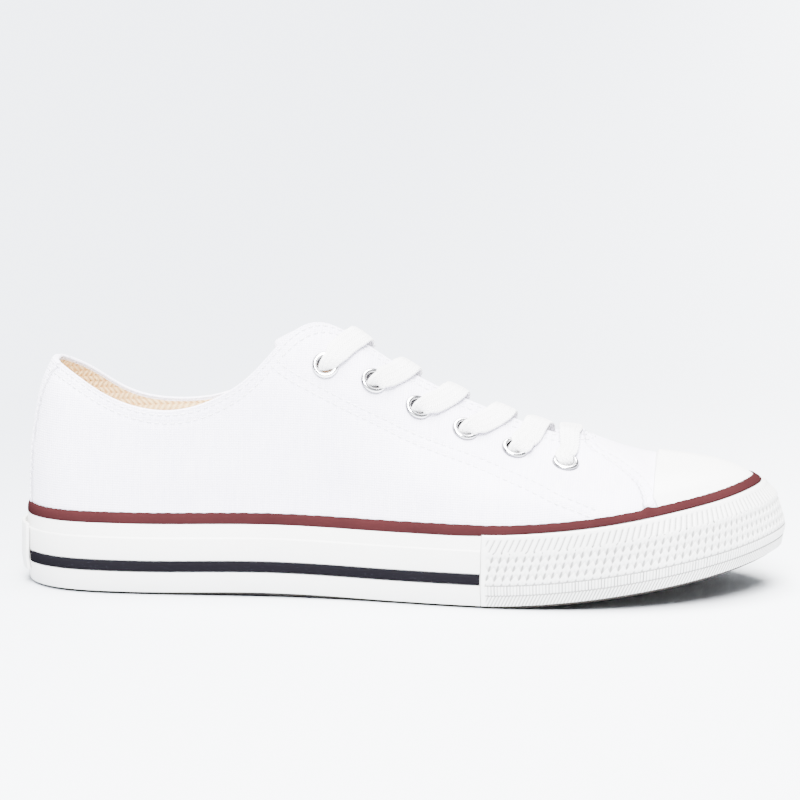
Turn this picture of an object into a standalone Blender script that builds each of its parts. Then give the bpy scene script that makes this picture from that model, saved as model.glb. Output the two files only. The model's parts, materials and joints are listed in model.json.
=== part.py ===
"""Low canvas sneaker, right shoe, standing empty on its sole.

Metres, +X towards the toe, +Y towards the inner (medial) side, +Z up. Every piece is worked out
from the last: an outline round the sole, a side wall that leans on it, and ribs that climb from
the wall to the collar and the throat. A place round the shoe is a turn: 0 at the back of the
heel, pi at the tip of the toe, the outer (lateral) side between them, then the medial side back.
"""
import math

import bmesh
import bpy
import numpy as np

MM = 0.001

# Driving sizes of the last and the sole
LENGTH = 288.4 * MM
BALL_WIDTH = 101.0 * MM
HEEL_WIDTH = 68.6 * MM
HEEL_HEIGHT = 86.0 * MM
INSTEP_HEIGHT = 102.0 * MM
COLLAR_WIDTH = 54.0 * MM
THROAT_GAP = 20.0 * MM
TOE_SPRING = 15.8 * MM
ARCH_RISE = 0.8 * MM
TIP_SHIFT = 6.0 * MM
THROAT_SHIFT = 2.0 * MM
MEDIAL_DROP = 3.2 * MM
FLAP_DROP = 5.5 * MM
THROAT_DROP = 3.8 * MM

# Side wall: how far it leans in and tucks under
SIDE_LEAN = 2.6 * MM
HEEL_LEAN = 0.5 * MM
TOE_LEAN = 10.5 * MM
TUCK = 1.7 * MM
TOE_DROP = 0.03

# Rubber of the sole
CLEARANCE = 0.3 * MM
CORE_HEEL = 12.0 * MM
CORE_TOE = 9.5 * MM
BELLY_DROP = 0.5 * MM
FOXING_WALL = 1.6 * MM
FOXING_BOTTOM = 0.5 * MM
FOXING_TOP = 27.6 * MM
LEDGE_HEIGHT = 21.6 * MM
LEDGE_STEP = 0.5 * MM
STRIPE_BOTTOM = 9.3 * MM
STRIPE_TOP = 13.0 * MM
STRIPE_DEPTH = 0.7 * MM
STRIPE_PROUD = 0.25 * MM
PIPING_HEIGHT = 3.0 * MM
PIPING_PROUD = 0.9 * MM
BUMPER_START = 0.613
BUMPER_PROUD = 0.6 * MM
RIB_RELIEF = 0.5 * MM
RIB_PITCH = 6.2 * MM
SCALE_ROWS = 4
RIM_HEIGHT = 1.4 * MM
COMB_EDGE = 0.8 * MM
PATCH_WIDTH = 30.0 * MM
PATCH_BOTTOM = 5.5 * MM
PATCH_TOP = 23.5 * MM
PATCH_THICKNESS = 1.7 * MM

# Tread
GROOVE_PITCH = 13.0 * MM
GROOVE_WIDTH = 2.6 * MM
GROOVE_DEPTH = 1.6 * MM
GROOVE_SWEEP = 7.0 * MM
TREAD_RIM = 8.0 * MM
TREAD_FRONT = 0.93
TREAD_BACK = 0.05

# Upper, lining pieces and metal
CANVAS = 2.0 * MM
STRIP_WIDTH = 20.0 * MM
STRIP_THICKNESS = 0.8 * MM
CAP_BACK = 0.832
CAP_THICKNESS = 0.9 * MM
INSOLE = 4.0 * MM
TONGUE = 2.0 * MM
TONGUE_GAP = 0.9 * MM
TONGUE_REACH = 19.0 * MM
TONGUE_TOP = 6.0 * MM
TONGUE_TIP = 18.5 * MM
TONGUE_SAG = 0.32
TONGUE_CROWN = 0.4 * MM
EYELET_FIRST = 4.5 * MM
EYELET_PITCH = 19.2 * MM
EYELET_INSET = 17.0 * MM
EYELET_HOLE = 5.9 * MM
EYELET_FLANGE = 10.2 * MM
EYELET_METAL = 0.4 * MM
EYELET_CROWN = 0.7 * MM
LACE_WIDTH = 7.2 * MM
LACE_THICKNESS = 1.2 * MM

# Columns round the shoe and rows up its ribs
HALF_COLUMNS = 32
RIB_ROWS = 7
EYELET_SIDES = 10

# Sole outline: along is a share of LENGTH, lateral and medial are shares of the local width
OUTLINE = (
    # along, lateral, medial
    (0.02, 0.267, 0.267),
    (0.07, 0.428, 0.425),
    (0.16, 0.488, 0.478),
    (0.30, 0.503, 0.459),
    (0.44, 0.489, 0.412),
    (0.56, 0.495, 0.435),
    (0.68, 0.498, 0.478),
    (0.78, 0.489, 0.491),
    (0.87, 0.416, 0.446),
    (0.94, 0.282, 0.356),
    (0.98, 0.129, 0.233),
)

# Ribs of the upper, heel to toe. base is where the rib starts on the outline, top_along where it
# ends (both shares of LENGTH), top_across a share of the local opening, top_height a share of the
# local height. Then three bends, each as shares of the way in and of the way up to the top.
RIBS = (
    # base, top_along, top_across, top_height, in1, up1, in2, up2, in3, up3
    (0.00, 0.0425, 0.000, 1.000, 0.03, 0.30, 0.24, 0.60, 0.58, 0.85),
    (0.03, 0.0520, 0.176, 0.984, 0.04, 0.30, 0.26, 0.60, 0.60, 0.85),
    (0.08, 0.0860, 0.335, 0.925, 0.06, 0.30, 0.30, 0.60, 0.64, 0.85),
    (0.15, 0.1400, 0.444, 0.838, 0.08, 0.30, 0.34, 0.60, 0.68, 0.85),
    (0.22, 0.2050, 0.502, 0.808, 0.08, 0.30, 0.36, 0.60, 0.70, 0.85),
    (0.29, 0.2700, 0.518, 0.813, 0.08, 0.30, 0.35, 0.60, 0.70, 0.85),
    (0.34, 0.3180, 0.500, 0.862, 0.07, 0.30, 0.32, 0.60, 0.66, 0.85),
    (0.375, 0.3520, 0.440, 0.946, 0.06, 0.30, 0.26, 0.60, 0.60, 0.86),
    (0.41, 0.3850, 0.385, 1.000, 0.06, 0.30, 0.24, 0.60, 0.62, 0.87),
    (0.46, 0.4300, 0.400, 0.961, 0.05, 0.28, 0.20, 0.55, 0.53, 0.85),
    (0.52, 0.4950, 0.500, 0.843, 0.08, 0.27, 0.32, 0.56, 0.60, 0.81),
    (0.60, 0.5750, 0.480, 0.727, 0.10, 0.26, 0.36, 0.49, 0.64, 0.72),
    (0.68, 0.6450, 0.460, 0.647, 0.10, 0.26, 0.36, 0.46, 0.66, 0.67),
    (0.77, 0.6950, 0.430, 0.596, 0.10, 0.22, 0.36, 0.40, 0.67, 0.59),
    (0.87, 0.7220, 0.340, 0.586, 0.08, 0.20, 0.35, 0.42, 0.70, 0.66),
    (0.95, 0.7330, 0.180, 0.586, 0.08, 0.18, 0.40, 0.41, 0.70, 0.63),
    (1.00, 0.7370, 0.000, 0.588, 0.09, 0.16, 0.40, 0.41, 0.69, 0.58),
)
FLAP_CORNER = 0.41

# Eyelets from the top of the flap down: how far along the throat after the first, in pitches,
# and how far from its edge, in insets
EYELET_PLACES = (
    # travel, inset
    (-0.11, 1.09),
    (0.96, 1.18),
    (2.08, 1.02),
    (3.13, 0.96),
    (4.14, 0.98),
    (5.00, 1.02),
)
EYELETS = len(EYELET_PLACES)

# Lace over a flap: share of the way from the lower eyelet to the upper one, share of the inset
# down from the throat's edge, and how far it rides over the canvas
LACE_RUN = (
    # share, drop, lift
    (0.24, 0.03, 2.1 * MM),
    (0.62, 0.50, 1.4 * MM),
    (1.00, 1.00, 2.4 * MM),
)
LACE_UNDER = 0.0
LACE_FAR = 0.20
LACE_LOWEST = 0.35
LACE_START = 0.22
LACE_CROWN = 0.7 * MM
LACE_OVER = 0.5 * MM
BAR_RUN = (
    # drop, lift
    (1.00, 1.9 * MM),
    (0.50, 1.6 * MM),
    (0.03, 3.1 * MM),
)

# Front of the tongue, under the vamp: place round the throat and distance from its edge
TONGUE_FRONT = (
    # base, drop
    (0.84, 16.0 * MM),
    (0.89, 13.0 * MM),
    (0.95, 10.0 * MM),
    (1.00, 9.0 * MM),
)


def ease(value, start, end):
    """Soft step from 0 at start to 1 at end."""
    share = np.clip((value - start) / (end - start), 0.0, 1.0)
    return share * share * (3 - 2 * share)


class Smooth:
    """Cubic curve through values at knots; with a period it closes on itself."""

    def __init__(self, knots, values, period=None):
        knots = np.asarray(knots, float)
        values = np.asarray(values, float)
        self.period = period
        if period is not None:
            knots = np.append(knots, knots[0] + period)
            values = np.concatenate([values, values[:1]])
        self.knots = knots
        self.values = values
        count = len(knots)
        step = np.diff(knots)
        slope = (np.diff(values, axis=0).T / step).T
        system = np.zeros((count, count))
        target = np.zeros_like(values)
        for i in range(1, count - 1):
            system[i, i - 1:i + 2] = step[i - 1], 2 * (step[i - 1] + step[i]), step[i]
            target[i] = 6 * (slope[i] - slope[i - 1])
        if period is None:
            system[0, 0] = system[-1, -1] = 1
        else:
            system[0, [0, 1, -2]] = 2 * (step[-1] + step[0]), step[0], step[-1]
            target[0] = 6 * (slope[0] - slope[-1])
            system[-1, [0, -1]] = 1, -1
        self.bends = np.linalg.solve(system, target)

    def at(self, place):
        if self.period is not None:
            place = self.knots[0] + (place - self.knots[0]) % self.period
        i = int(np.clip(np.searchsorted(self.knots, place) - 1, 0, len(self.knots) - 2))
        step = self.knots[i + 1] - self.knots[i]
        b = (place - self.knots[i]) / step
        a = 1 - b
        curve = ((a ** 3 - a) * self.bends[i] + (b ** 3 - b) * self.bends[i + 1]) * step ** 2 / 6
        return a * self.values[i] + b * self.values[i + 1] + curve


def turn_of(along):
    """Turn on the lateral side where the outline is that far along the shoe."""
    return math.acos(1 - 2 * along)


def along_of(turn):
    return (1 - math.cos(turn)) / 2


def local_width(along):
    return HEEL_WIDTH + (BALL_WIDTH - HEEL_WIDTH) * ease(along, 0.3, 0.7)


def ring_of(turns, lateral, medial):
    """Closed curve from half tables whose first row is the heel and last row the toe."""
    knots = list(turns) + [math.tau - turn for turn in reversed(turns[1:-1])]
    values = list(lateral) + list(reversed(medial[1:-1]))
    return Smooth(knots, values, period=math.tau)


def outline_curve():
    turns = [0.0] + [turn_of(row[0]) for row in OUTLINE] + [math.pi]
    lateral = [0.0] + [-row[1] * local_width(row[0]) for row in OUTLINE] + [TIP_SHIFT]
    medial = [0.0] + [row[2] * local_width(row[0]) for row in OUTLINE] + [TIP_SHIFT]
    return ring_of(turns, lateral, medial)


OUTLINE_CURVE = outline_curve()


def outline(turn):
    return np.array([LENGTH * along_of(turn), OUTLINE_CURVE.at(turn)])


def outward(turn):
    """Unit vector away from the shoe, level with the ground."""
    small = 1e-3
    run = outline(turn + small) - outline(turn - small)
    normal = np.array([run[1], -run[0]])
    return normal / np.linalg.norm(normal)


def ground(along):
    """Height of the underside: flat at heel and ball, a low arch, and the spring of the toe."""
    arch = ARCH_RISE * ease(along, 0.16, 0.33) * (1 - ease(along, 0.33, 0.50))
    spring = TOE_SPRING * np.clip((along - 0.62) / 0.38, 0, None) ** 1.5
    return arch + spring


def core_height(along):
    """Thickness of the sole under the insole."""
    return CORE_HEEL + (CORE_TOE - CORE_HEEL) * ease(along, 0.25, 0.65)


def lean_at(along):
    """How far the top of the wall stands in from its belly."""
    side = HEEL_LEAN + (SIDE_LEAN - HEEL_LEAN) * ease(along, 0.0, 0.15)
    return side + (TOE_LEAN - SIDE_LEAN) * ease(along, 0.72, 1.0)


WALL_TOP = FOXING_TOP + CLEARANCE + PIPING_HEIGHT
WALL_BELLY = CORE_TOE - BELLY_DROP
WALL_LEVELS = (WALL_BELLY, LEDGE_HEIGHT)
CANVAS_FACE = -(FOXING_WALL + CLEARANCE)


def wall(turn, out, height):
    """Point of the side wall, out from the foxing's face and above the sole's edge.

    The wall is straight between the ground, its levels and its top, so that the faces of two
    pieces that follow it stay apart all the way up.
    """
    along = along_of(turn)
    over = (LEDGE_HEIGHT - WALL_BELLY) / (WALL_TOP - WALL_BELLY)
    lean = lean_at(along)
    inset = np.interp(height, (0, *WALL_LEVELS, WALL_TOP), (TUCK, 0, lean * over ** 2, lean))
    x, y = outline(turn) + (out - inset) * outward(turn)
    rise = height * (1 - TOE_DROP * ease(along, 0.85, 1.0))
    return np.array([x, y, ground(x / LENGTH) + rise])


def levels(low, high):
    """Heights from low to high with the wall's own levels between them."""
    inside = [level for level in WALL_LEVELS if low + 0.1 * MM < level < high - 0.1 * MM]
    return [low] + inside + [high]


def medial_drop(along):
    """How much lower the medial top edge lies than the lateral one."""
    collar = MEDIAL_DROP * ease(along, 0.05, 0.14)
    flap = (FLAP_DROP - MEDIAL_DROP) * ease(along, 0.20, 0.30)
    throat = (FLAP_DROP - THROAT_DROP) * ease(along, 0.40, 0.55)
    return collar + flap - throat - THROAT_DROP * ease(along, 0.66, 0.737)


def top_curve():
    """Top edge of the upper: collar, flap corners and throat, as one closed curve."""
    turns = [turn_of(row[0]) for row in RIBS]
    edges = {-1: [], 1: []}
    for base, along, out_share, up_share, *bends in RIBS:
        opening = COLLAR_WIDTH + (THROAT_GAP - COLLAR_WIDTH) * ease(along, 0.34, 0.47)
        height = HEEL_HEIGHT + (INSTEP_HEIGHT - HEEL_HEIGHT) * ease(along, 0.20, 0.36)
        centre = THROAT_SHIFT * ease(along, 0.3, 0.75)
        drop = medial_drop(along)
        for side in (-1, 1):
            across = centre + side * out_share * opening
            rise = up_share * height - (drop if side > 0 else 0)
            edges[side].append((LENGTH * along, across, rise))
    return ring_of(turns, edges[-1], edges[1])


def bend_curve():
    turns = [turn_of(row[0]) for row in RIBS]
    bends = [bends for base, along, out_share, up_share, *bends in RIBS]
    return ring_of(turns, bends, bends)


TOP_CURVE = top_curve()
BEND_CURVE = bend_curve()
RIB_STORE = {}


def rib(turn):
    """Curve up the upper from the piping's top edge (knot 0) to the collar or throat."""
    key = round(turn % math.tau, 9)
    if key not in RIB_STORE:
        foot = wall(turn, CANVAS_FACE, WALL_TOP)
        below = wall(turn, CANVAS_FACE, WALL_TOP - 2 * PIPING_HEIGHT)
        top = TOP_CURVE.at(turn)
        bends = BEND_CURVE.at(turn)
        points = [below, foot]
        for way_in, way_up in zip(bends[0::2], bends[1::2]):
            share = np.array([way_in, way_in, way_up])
            points.append(foot + (top - foot) * share)
        points.append(top)
        lengths = np.linalg.norm(np.diff(points, axis=0), axis=1)
        knots = np.concatenate([[-lengths[0]], [0], np.cumsum(lengths[1:])])
        RIB_STORE[key] = Smooth(knots, points)
    return RIB_STORE[key]


def rib_length(turn):
    return rib(turn).knots[-1]


def on_upper(turn, up):
    """Point of the canvas at a share of the way up its rib."""
    curve = rib(turn)
    return curve.at(up * curve.knots[-1])


def upper_normal(turn, up):
    """Unit vector out of the canvas."""
    small = 2e-3
    low, high = max(up - small, 0), min(up + small, 1)
    climb = on_upper(turn, high) - on_upper(turn, low)
    run = on_upper(turn + small, up) - on_upper(turn - small, up)
    normal = np.cross(run, climb)
    return normal / np.linalg.norm(normal)


def off_upper(turn, up, out):
    """Point at a distance out of the canvas, or inside it where out is negative."""
    return on_upper(turn, up) + out * upper_normal(turn, up)


def up_from_edge(turn, distance):
    """Share of the rib at a distance down from the top edge."""
    return 1 - distance / rib_length(turn)


def ring_turns():
    """Turns of the columns, closer where the outline curves, with the heel strip's edges."""
    fine = np.linspace(0, math.pi, 721)
    points = np.array([outline(turn) for turn in fine])
    headings = np.unwrap([math.atan2(*outward(turn)) for turn in fine])
    spread = np.linalg.norm(np.diff(points, axis=0), axis=1) + 0.03 * np.abs(np.diff(headings))
    travel = np.concatenate([[0], np.cumsum(spread)])
    even = np.interp(np.linspace(0, travel[-1], HALF_COLUMNS + 1), travel, fine)
    edge = turn_at_width(STRIP_WIDTH / 2)
    hem = turn_at_width(STRIP_WIDTH / 2 + CLEARANCE)
    apart = 0.35 * (even[1] - even[0])
    kept = [turn for turn in even if abs(turn - edge) > apart or turn == 0]
    half = sorted(kept[:-1] + [edge, hem])
    return half + [math.pi] + [math.tau - turn for turn in reversed(half[1:])]


def turn_at_width(half_width):
    """Turn near the heel where the outline is that far to the side."""
    low, high = 0.0, turn_of(0.2)
    for _ in range(40):
        middle = (low + high) / 2
        low, high = (middle, high) if -outline(middle)[1] < half_width else (low, middle)
    return middle


def turns_between(start, end, extra=1):
    """The ring's columns from start to end, ends included, each gap split into extra parts."""
    inside = [turn for turn in RING if start + 1e-3 < turn < end - 1e-3]
    marks = [start] + inside + [end]
    split = []
    for first, last in zip(marks, marks[1:]):
        split += [first + (last - first) * k / extra for k in range(extra)]
    return split + [end]


RING = ring_turns()


def material(name, colour, roughness, metallic=0.0):
    made = bpy.data.materials.new(name)
    made.use_nodes = True
    shader = made.node_tree.nodes["Principled BSDF"]
    shader.inputs["Base Color"].default_value = (*colour, 1)
    shader.inputs["Roughness"].default_value = roughness
    shader.inputs["Metallic"].default_value = metallic
    return made


def finish(name, shape, look, smooth_angle=math.radians(40)):
    """Make an object from a bmesh, with its faces pointing out."""
    bmesh.ops.recalc_face_normals(shape, faces=shape.faces)
    mesh = bpy.data.meshes.new(name)
    shape.to_mesh(mesh)
    shape.free()
    mesh.shade_smooth()
    mesh.set_sharp_from_angle(angle=smooth_angle)
    mesh.materials.append(look)
    made = bpy.data.objects.new(name, mesh)
    bpy.context.scene.collection.objects.link(made)
    return made


def skin(shape, rows, close_rows, close_columns):
    """Join a grid of points into faces; returns its vertices."""
    grid = [[shape.verts.new(point) for point in row] for row in rows]
    row_count, column_count = len(grid), len(grid[0])
    for i in range(row_count if close_rows else row_count - 1):
        for j in range(column_count if close_columns else column_count - 1):
            near, far = grid[i], grid[(i + 1) % row_count]
            k = (j + 1) % column_count
            shape.faces.new((near[j], near[k], far[k], far[j]))
    return grid


def band(name, turns, profile, look, closed=False):
    """Sweep a profile of (out, height) round the wall; an open band gets two end faces."""
    shape = bmesh.new()
    rows = []
    for index, turn in enumerate(turns):
        section = profile(index, turn) if callable(profile) else profile
        rows.append([wall(turn, out, height) for out, height in section])
    grid = skin(shape, rows, closed, True)
    if not closed:
        shape.faces.new(grid[0])
        shape.faces.new(grid[-1])
    return finish(name, shape, look)


def sheet(name, outer, inner, look, closed=False):
    """Solid between two grids of points that lie over each other."""
    shape = bmesh.new()
    front = skin(shape, outer, closed, False)
    back = skin(shape, inner, closed, False)
    count = len(front)
    for i in range(count if closed else count - 1):
        k = (i + 1) % count
        for edge in (0, -1):
            shape.faces.new((front[i][edge], front[k][edge], back[k][edge], back[i][edge]))
    if not closed:
        for end in (0, -1):
            for j in range(len(front[0]) - 1):
                near, far = front[end], back[end]
                shape.faces.new((near[j], near[j + 1], far[j + 1], far[j]))
    return finish(name, shape, look)


def grid_normals(grid):
    """Unit normals of a grid of points, from its two directions."""
    points = np.array(grid)
    across = np.gradient(points, axis=1)
    down = np.gradient(points, axis=0)
    normals = np.cross(down, across)
    return normals / np.linalg.norm(normals, axis=2, keepdims=True)


def plate(name, out, bottom, top, look):
    """Solid over the whole sole: rungs across the shoe, with a side wall between its edges."""
    half = [turn for turn in RING if 0 < turn < math.pi]
    inside = [level for level in WALL_LEVELS if bottom(1) < level < top(1)]
    heights = [bottom] + [lambda along, level=level: level for level in inside] + [top]
    shape = bmesh.new()
    layers = []
    for height in heights:
        heel = shape.verts.new(wall(0, out, height(0)))
        toe = shape.verts.new(wall(math.pi, out, height(1)))
        lateral = [shape.verts.new(wall(turn, out, height(along_of(turn)))) for turn in half]
        medial = [shape.verts.new(wall(math.tau - turn, out, height(along_of(turn)))) for turn in half]
        layers.append([heel] + lateral + [toe] + medial[::-1])
        if height in (bottom, top):
            shape.faces.new((heel, lateral[0], medial[0]))
            shape.faces.new((toe, medial[-1], lateral[-1]))
            for i in range(len(half) - 1):
                shape.faces.new((lateral[i], lateral[i + 1], medial[i + 1], medial[i]))
    for below, above in zip(layers, layers[1:]):
        for i in range(len(below)):
            k = (i + 1) % len(below)
            shape.faces.new((below[i], below[k], above[k], above[i]))
    return finish(name, shape, look)


def boolean(target, tool, operation):
    """Apply a Boolean and remove its tool."""
    step = target.modifiers.new(operation.title(), "BOOLEAN")
    step.object = tool
    step.operation = operation
    step.solver = "EXACT"
    graph = bpy.context.evaluated_depsgraph_get()
    result = bpy.data.meshes.new_from_object(target.evaluated_get(graph))
    target.modifiers.remove(step)
    old = target.data
    target.data = result
    result.name = old.name
    bpy.data.meshes.remove(old)
    bpy.data.objects.remove(tool)


def make_outsole(look):
    """Outsole with its thick core, chevron grooves cut into the underside."""
    outsole = plate("outsole", CANVAS_FACE, lambda along: 0.0, core_height, look)
    shape = bmesh.new()
    first, last = TREAD_BACK * LENGTH, TREAD_FRONT * LENGTH
    count = int((last - first) / GROOVE_PITCH)
    for k in range(count):
        x = first + (k + 0.5) * GROOVE_PITCH
        along = x / LENGTH
        turn = turn_of(along)
        left = outline(turn)[1] + TREAD_RIM
        right = outline(math.tau - turn)[1] - TREAD_RIM
        middle = (left + right) / 2
        corners = ((x, left), (x + GROOVE_SWEEP, middle), (x, right))
        back = [(px - GROOVE_WIDTH / 2, py) for px, py in corners]
        front = [(px + GROOVE_WIDTH / 2, py) for px, py in reversed(corners)]
        roof = ground(along) + GROOVE_DEPTH
        face = shape.faces.new([shape.verts.new((px, py, roof)) for px, py in back + front])
        fallen = bmesh.ops.extrude_face_region(shape, geom=[face])["geom"]
        moved = [item for item in fallen if isinstance(item, bmesh.types.BMVert)]
        bmesh.ops.translate(shape, verts=moved, vec=(0, 0, -(roof + GROOVE_DEPTH)))
    grooves = finish("grooves", shape, look)
    grooves.hide_render = True
    grooves.display_type = "WIRE"
    boolean(outsole, grooves, "DIFFERENCE")
    return outsole


def make_insole(look):
    edge = CANVAS_FACE - CANVAS - CLEARANCE
    return plate(
        "insole",
        edge,
        lambda along: core_height(along) + CLEARANCE,
        lambda along: core_height(along) + CLEARANCE + INSOLE,
        look,
    )


def make_foxing(look):
    """Rubber tape round the heel and sides: a ledge near its top and a groove for the stripe."""
    inner = -FOXING_WALL
    step = -LEDGE_STEP
    groove = -STRIPE_DEPTH
    profile = [(inner, height) for height in reversed(levels(FOXING_BOTTOM, FOXING_TOP))]
    profile += [
        (0.0, FOXING_BOTTOM),
        (0.0, STRIPE_BOTTOM - CLEARANCE),
        (groove, STRIPE_BOTTOM - CLEARANCE),
        (groove, STRIPE_TOP + CLEARANCE),
        (0.0, STRIPE_TOP + CLEARANCE),
        (0.0, LEDGE_HEIGHT),
        (step, LEDGE_HEIGHT + LEDGE_STEP),
        (step, FOXING_TOP),
    ]
    start = turn_of(BUMPER_START)
    lateral = turns_between(0, start)
    turns = [-turn for turn in reversed(lateral[1:])] + lateral
    return band("foxing", turns, profile, look)


def make_stripe(side, look):
    """Dark stripe, let into the groove from the heel patch to the bumper."""
    floor = -STRIPE_DEPTH + CLEARANCE
    profile = (
        (floor, STRIPE_BOTTOM),
        (STRIPE_PROUD, STRIPE_BOTTOM),
        (STRIPE_PROUD, STRIPE_TOP),
        (floor, STRIPE_TOP),
    )
    back = turn_at_width(PATCH_WIDTH / 2 + 2 * CLEARANCE)
    turns = turns_between(back, turn_of(BUMPER_START) - CLEARANCE / LENGTH)
    if side == "medial":
        turns = [math.tau - turn for turn in turns]
    return band("stripe_" + side, turns, profile, look)


def make_patch(look):
    """Plain rubber patch over the foxing's ends at the back of the heel."""
    profile = [(CLEARANCE, height) for height in reversed(levels(PATCH_BOTTOM, PATCH_TOP))]
    raised = levels(PATCH_BOTTOM + CLEARANCE, PATCH_TOP - CLEARANCE)
    profile += [(PATCH_THICKNESS, height) for height in raised]
    side = turns_between(0, turn_at_width(PATCH_WIDTH / 2))
    turns = [-turn for turn in reversed(side[1:])] + side
    return band("heel_patch", turns, profile, look)


def make_piping(look):
    """Coloured strip on top of the foxing, in two facets."""
    bottom = FOXING_TOP + CLEARANCE
    profile = (
        (-FOXING_WALL, bottom),
        (PIPING_PROUD - FOXING_WALL + STRIPE_PROUD, bottom),
        (PIPING_PROUD - FOXING_WALL + STRIPE_PROUD, bottom + PIPING_HEIGHT / 2),
        (CLEARANCE - FOXING_WALL, bottom + PIPING_HEIGHT),
        (-FOXING_WALL, bottom + PIPING_HEIGHT),
    )
    return band("piping", RING, profile, look, closed=True)


def make_bumper(look):
    """Toe bumper: smooth rim, slanted ribs, staggered scales and a lower row of ribs."""
    inner = -FOXING_WALL
    face = BUMPER_PROUD
    rib_low, rib_top = LEDGE_HEIGHT - CLEARANCE, FOXING_TOP - RIM_HEIGHT
    comb_low, comb_top = STRIPE_BOTTOM / 2, STRIPE_BOTTOM - COMB_EDGE
    scale_low, scale_top = STRIPE_BOTTOM, LEDGE_HEIGHT - 2 * CLEARANCE
    scale_step = (scale_top - scale_low) / SCALE_ROWS
    start = turn_of(BUMPER_START) + 2 * CLEARANCE / LENGTH
    first, last = start, math.tau - start
    path = np.linspace(first, last, 721)
    steps = np.linalg.norm(np.diff([outline(turn) for turn in path], axis=0), axis=1)
    travel = np.concatenate([[0], np.cumsum(steps)])
    count = 2 * round(travel[-1] / RIB_PITCH)
    turns = np.interp(np.linspace(0, travel[-1], count + 1), travel, path)

    def profile(index, turn):
        raised = face if index % 2 == 0 else face - RIB_RELIEF
        other = face - RIB_RELIEF if index % 2 == 0 else face
        section = [(inner, height) for height in reversed(levels(FOXING_BOTTOM, FOXING_TOP))]
        section += [(face - RIB_RELIEF, FOXING_BOTTOM), (face - RIB_RELIEF, comb_low)]
        section += [(raised, comb_low), (raised, comb_top)]
        for row in range(SCALE_ROWS + 1):
            section.append((raised if row % 2 else other, scale_low + row * scale_step))
        section += [(raised, rib_low), (raised, rib_top), (face, rib_top)]
        return section + [(face, FOXING_TOP)]

    return band("toe_bumper", turns, profile, look)


def strip_step(turn):
    """Extra thickness of the back strip that covers the heel seam."""
    edge = turn_at_width(STRIP_WIDTH / 2)
    from_heel = min(turn % math.tau, math.tau - turn % math.tau)
    return STRIP_THICKNESS if from_heel < edge + 1e-6 else 0.0


def make_upper(look):
    """One hollow canvas wall, open at the collar, at the throat and underneath."""
    outer, inner = [], []
    shares = np.linspace(0, 1, RIB_ROWS)
    for turn in RING:
        floor = core_height(along_of(turn)) + CLEARANCE
        heights = (floor, LEDGE_HEIGHT, WALL_TOP)
        outer_rib = [wall(turn, CANVAS_FACE, height) for height in heights]
        inner_rib = [wall(turn, CANVAS_FACE - CANVAS, height) for height in heights[:-1]]
        inner_rib.append(off_upper(turn, 0, -CANVAS))
        step = strip_step(turn)
        for share in shares[1:]:
            outer_rib.append(off_upper(turn, share, step))
            inner_rib.append(off_upper(turn, share, -CANVAS))
        outer.append(outer_rib)
        inner.append(inner_rib)
    upper = sheet("upper", outer, inner, look, closed=True)
    punch = bmesh.new()
    for side in (-1, 1):
        for number in range(EYELETS):
            centre, normal = eyelet_seat(side, number)
            radius = EYELET_HOLE / 2 + EYELET_METAL + CLEARANCE
            add_cylinder(punch, centre, normal, radius, 4 * CANVAS)
    punches = finish("punches", punch, look)
    punches.hide_render = True
    punches.display_type = "WIRE"
    boolean(upper, punches, "DIFFERENCE")
    return upper


def frame_of(normal):
    """Two unit vectors square to a normal, the first towards the toe."""
    forward = np.array([1.0, 0, 0]) - normal[0] * normal
    forward /= np.linalg.norm(forward)
    return forward, np.cross(normal, forward)


def add_cylinder(shape, centre, normal, radius, length):
    """Closed round peg through a place on the canvas."""
    forward, across = frame_of(normal)
    rings = []
    for lift in (-length / 2, length / 2):
        ring = []
        for k in range(EYELET_SIDES):
            angle = math.tau * k / EYELET_SIDES
            spoke = math.cos(angle) * forward + math.sin(angle) * across
            ring.append(shape.verts.new(centre + lift * normal + radius * spoke))
        rings.append(ring)
        shape.faces.new(ring)
    for k in range(EYELET_SIDES):
        n = (k + 1) % EYELET_SIDES
        shape.faces.new((rings[0][k], rings[0][n], rings[1][n], rings[1][k]))


def throat_travel():
    """Turns along the throat's lateral edge with the distance of each from the flap's corner."""
    corner = turn_of(FLAP_CORNER)
    turns = np.linspace(corner, math.pi, 200)
    edge = [on_upper(turn, 1) for turn in turns]
    steps = np.linalg.norm(np.diff(edge, axis=0), axis=1)
    return turns, np.concatenate([[0], np.cumsum(steps)])


THROAT_TURNS, THROAT_TRAVEL = throat_travel()


def throat_turn(side, distance):
    """Turn whose rib meets the throat at a distance from the flap's top corner."""
    turn = float(np.interp(distance, THROAT_TRAVEL, THROAT_TURNS))
    return turn if side < 0 else math.tau - turn


def eyelet_distance(number):
    return EYELET_FIRST + EYELET_PLACES[number][0] * EYELET_PITCH


def eyelet_inset(number):
    return EYELET_INSET * EYELET_PLACES[number][1]


def eyelet_seat(side, number):
    """Centre on the canvas and direction of an eyelet, 0 at the top."""
    turn = throat_turn(side, eyelet_distance(number))
    up = up_from_edge(turn, eyelet_inset(number))
    return on_upper(turn, up), upper_normal(turn, up)


def eyelet_lift(side, number):
    """How far the curved canvas rises above an eyelet's centre, under its flange."""
    turn = throat_turn(side, eyelet_distance(number))
    up = up_from_edge(turn, eyelet_inset(number))
    centre, normal = on_upper(turn, up), upper_normal(turn, up)
    small = 1e-3
    pace = np.linalg.norm(on_upper(turn + small, up) - on_upper(turn - small, up)) / (2 * small)
    rises = [0.0]
    for k in range(EYELET_SIDES):
        angle = math.tau * k / EYELET_SIDES
        aside = EYELET_FLANGE / 2 * math.cos(angle) / pace
        climb = EYELET_FLANGE / 2 * math.sin(angle) / rib_length(turn)
        rises.append(float((on_upper(turn + aside, up + climb) - centre) @ normal))
    return max(rises), -min(rises)


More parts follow.
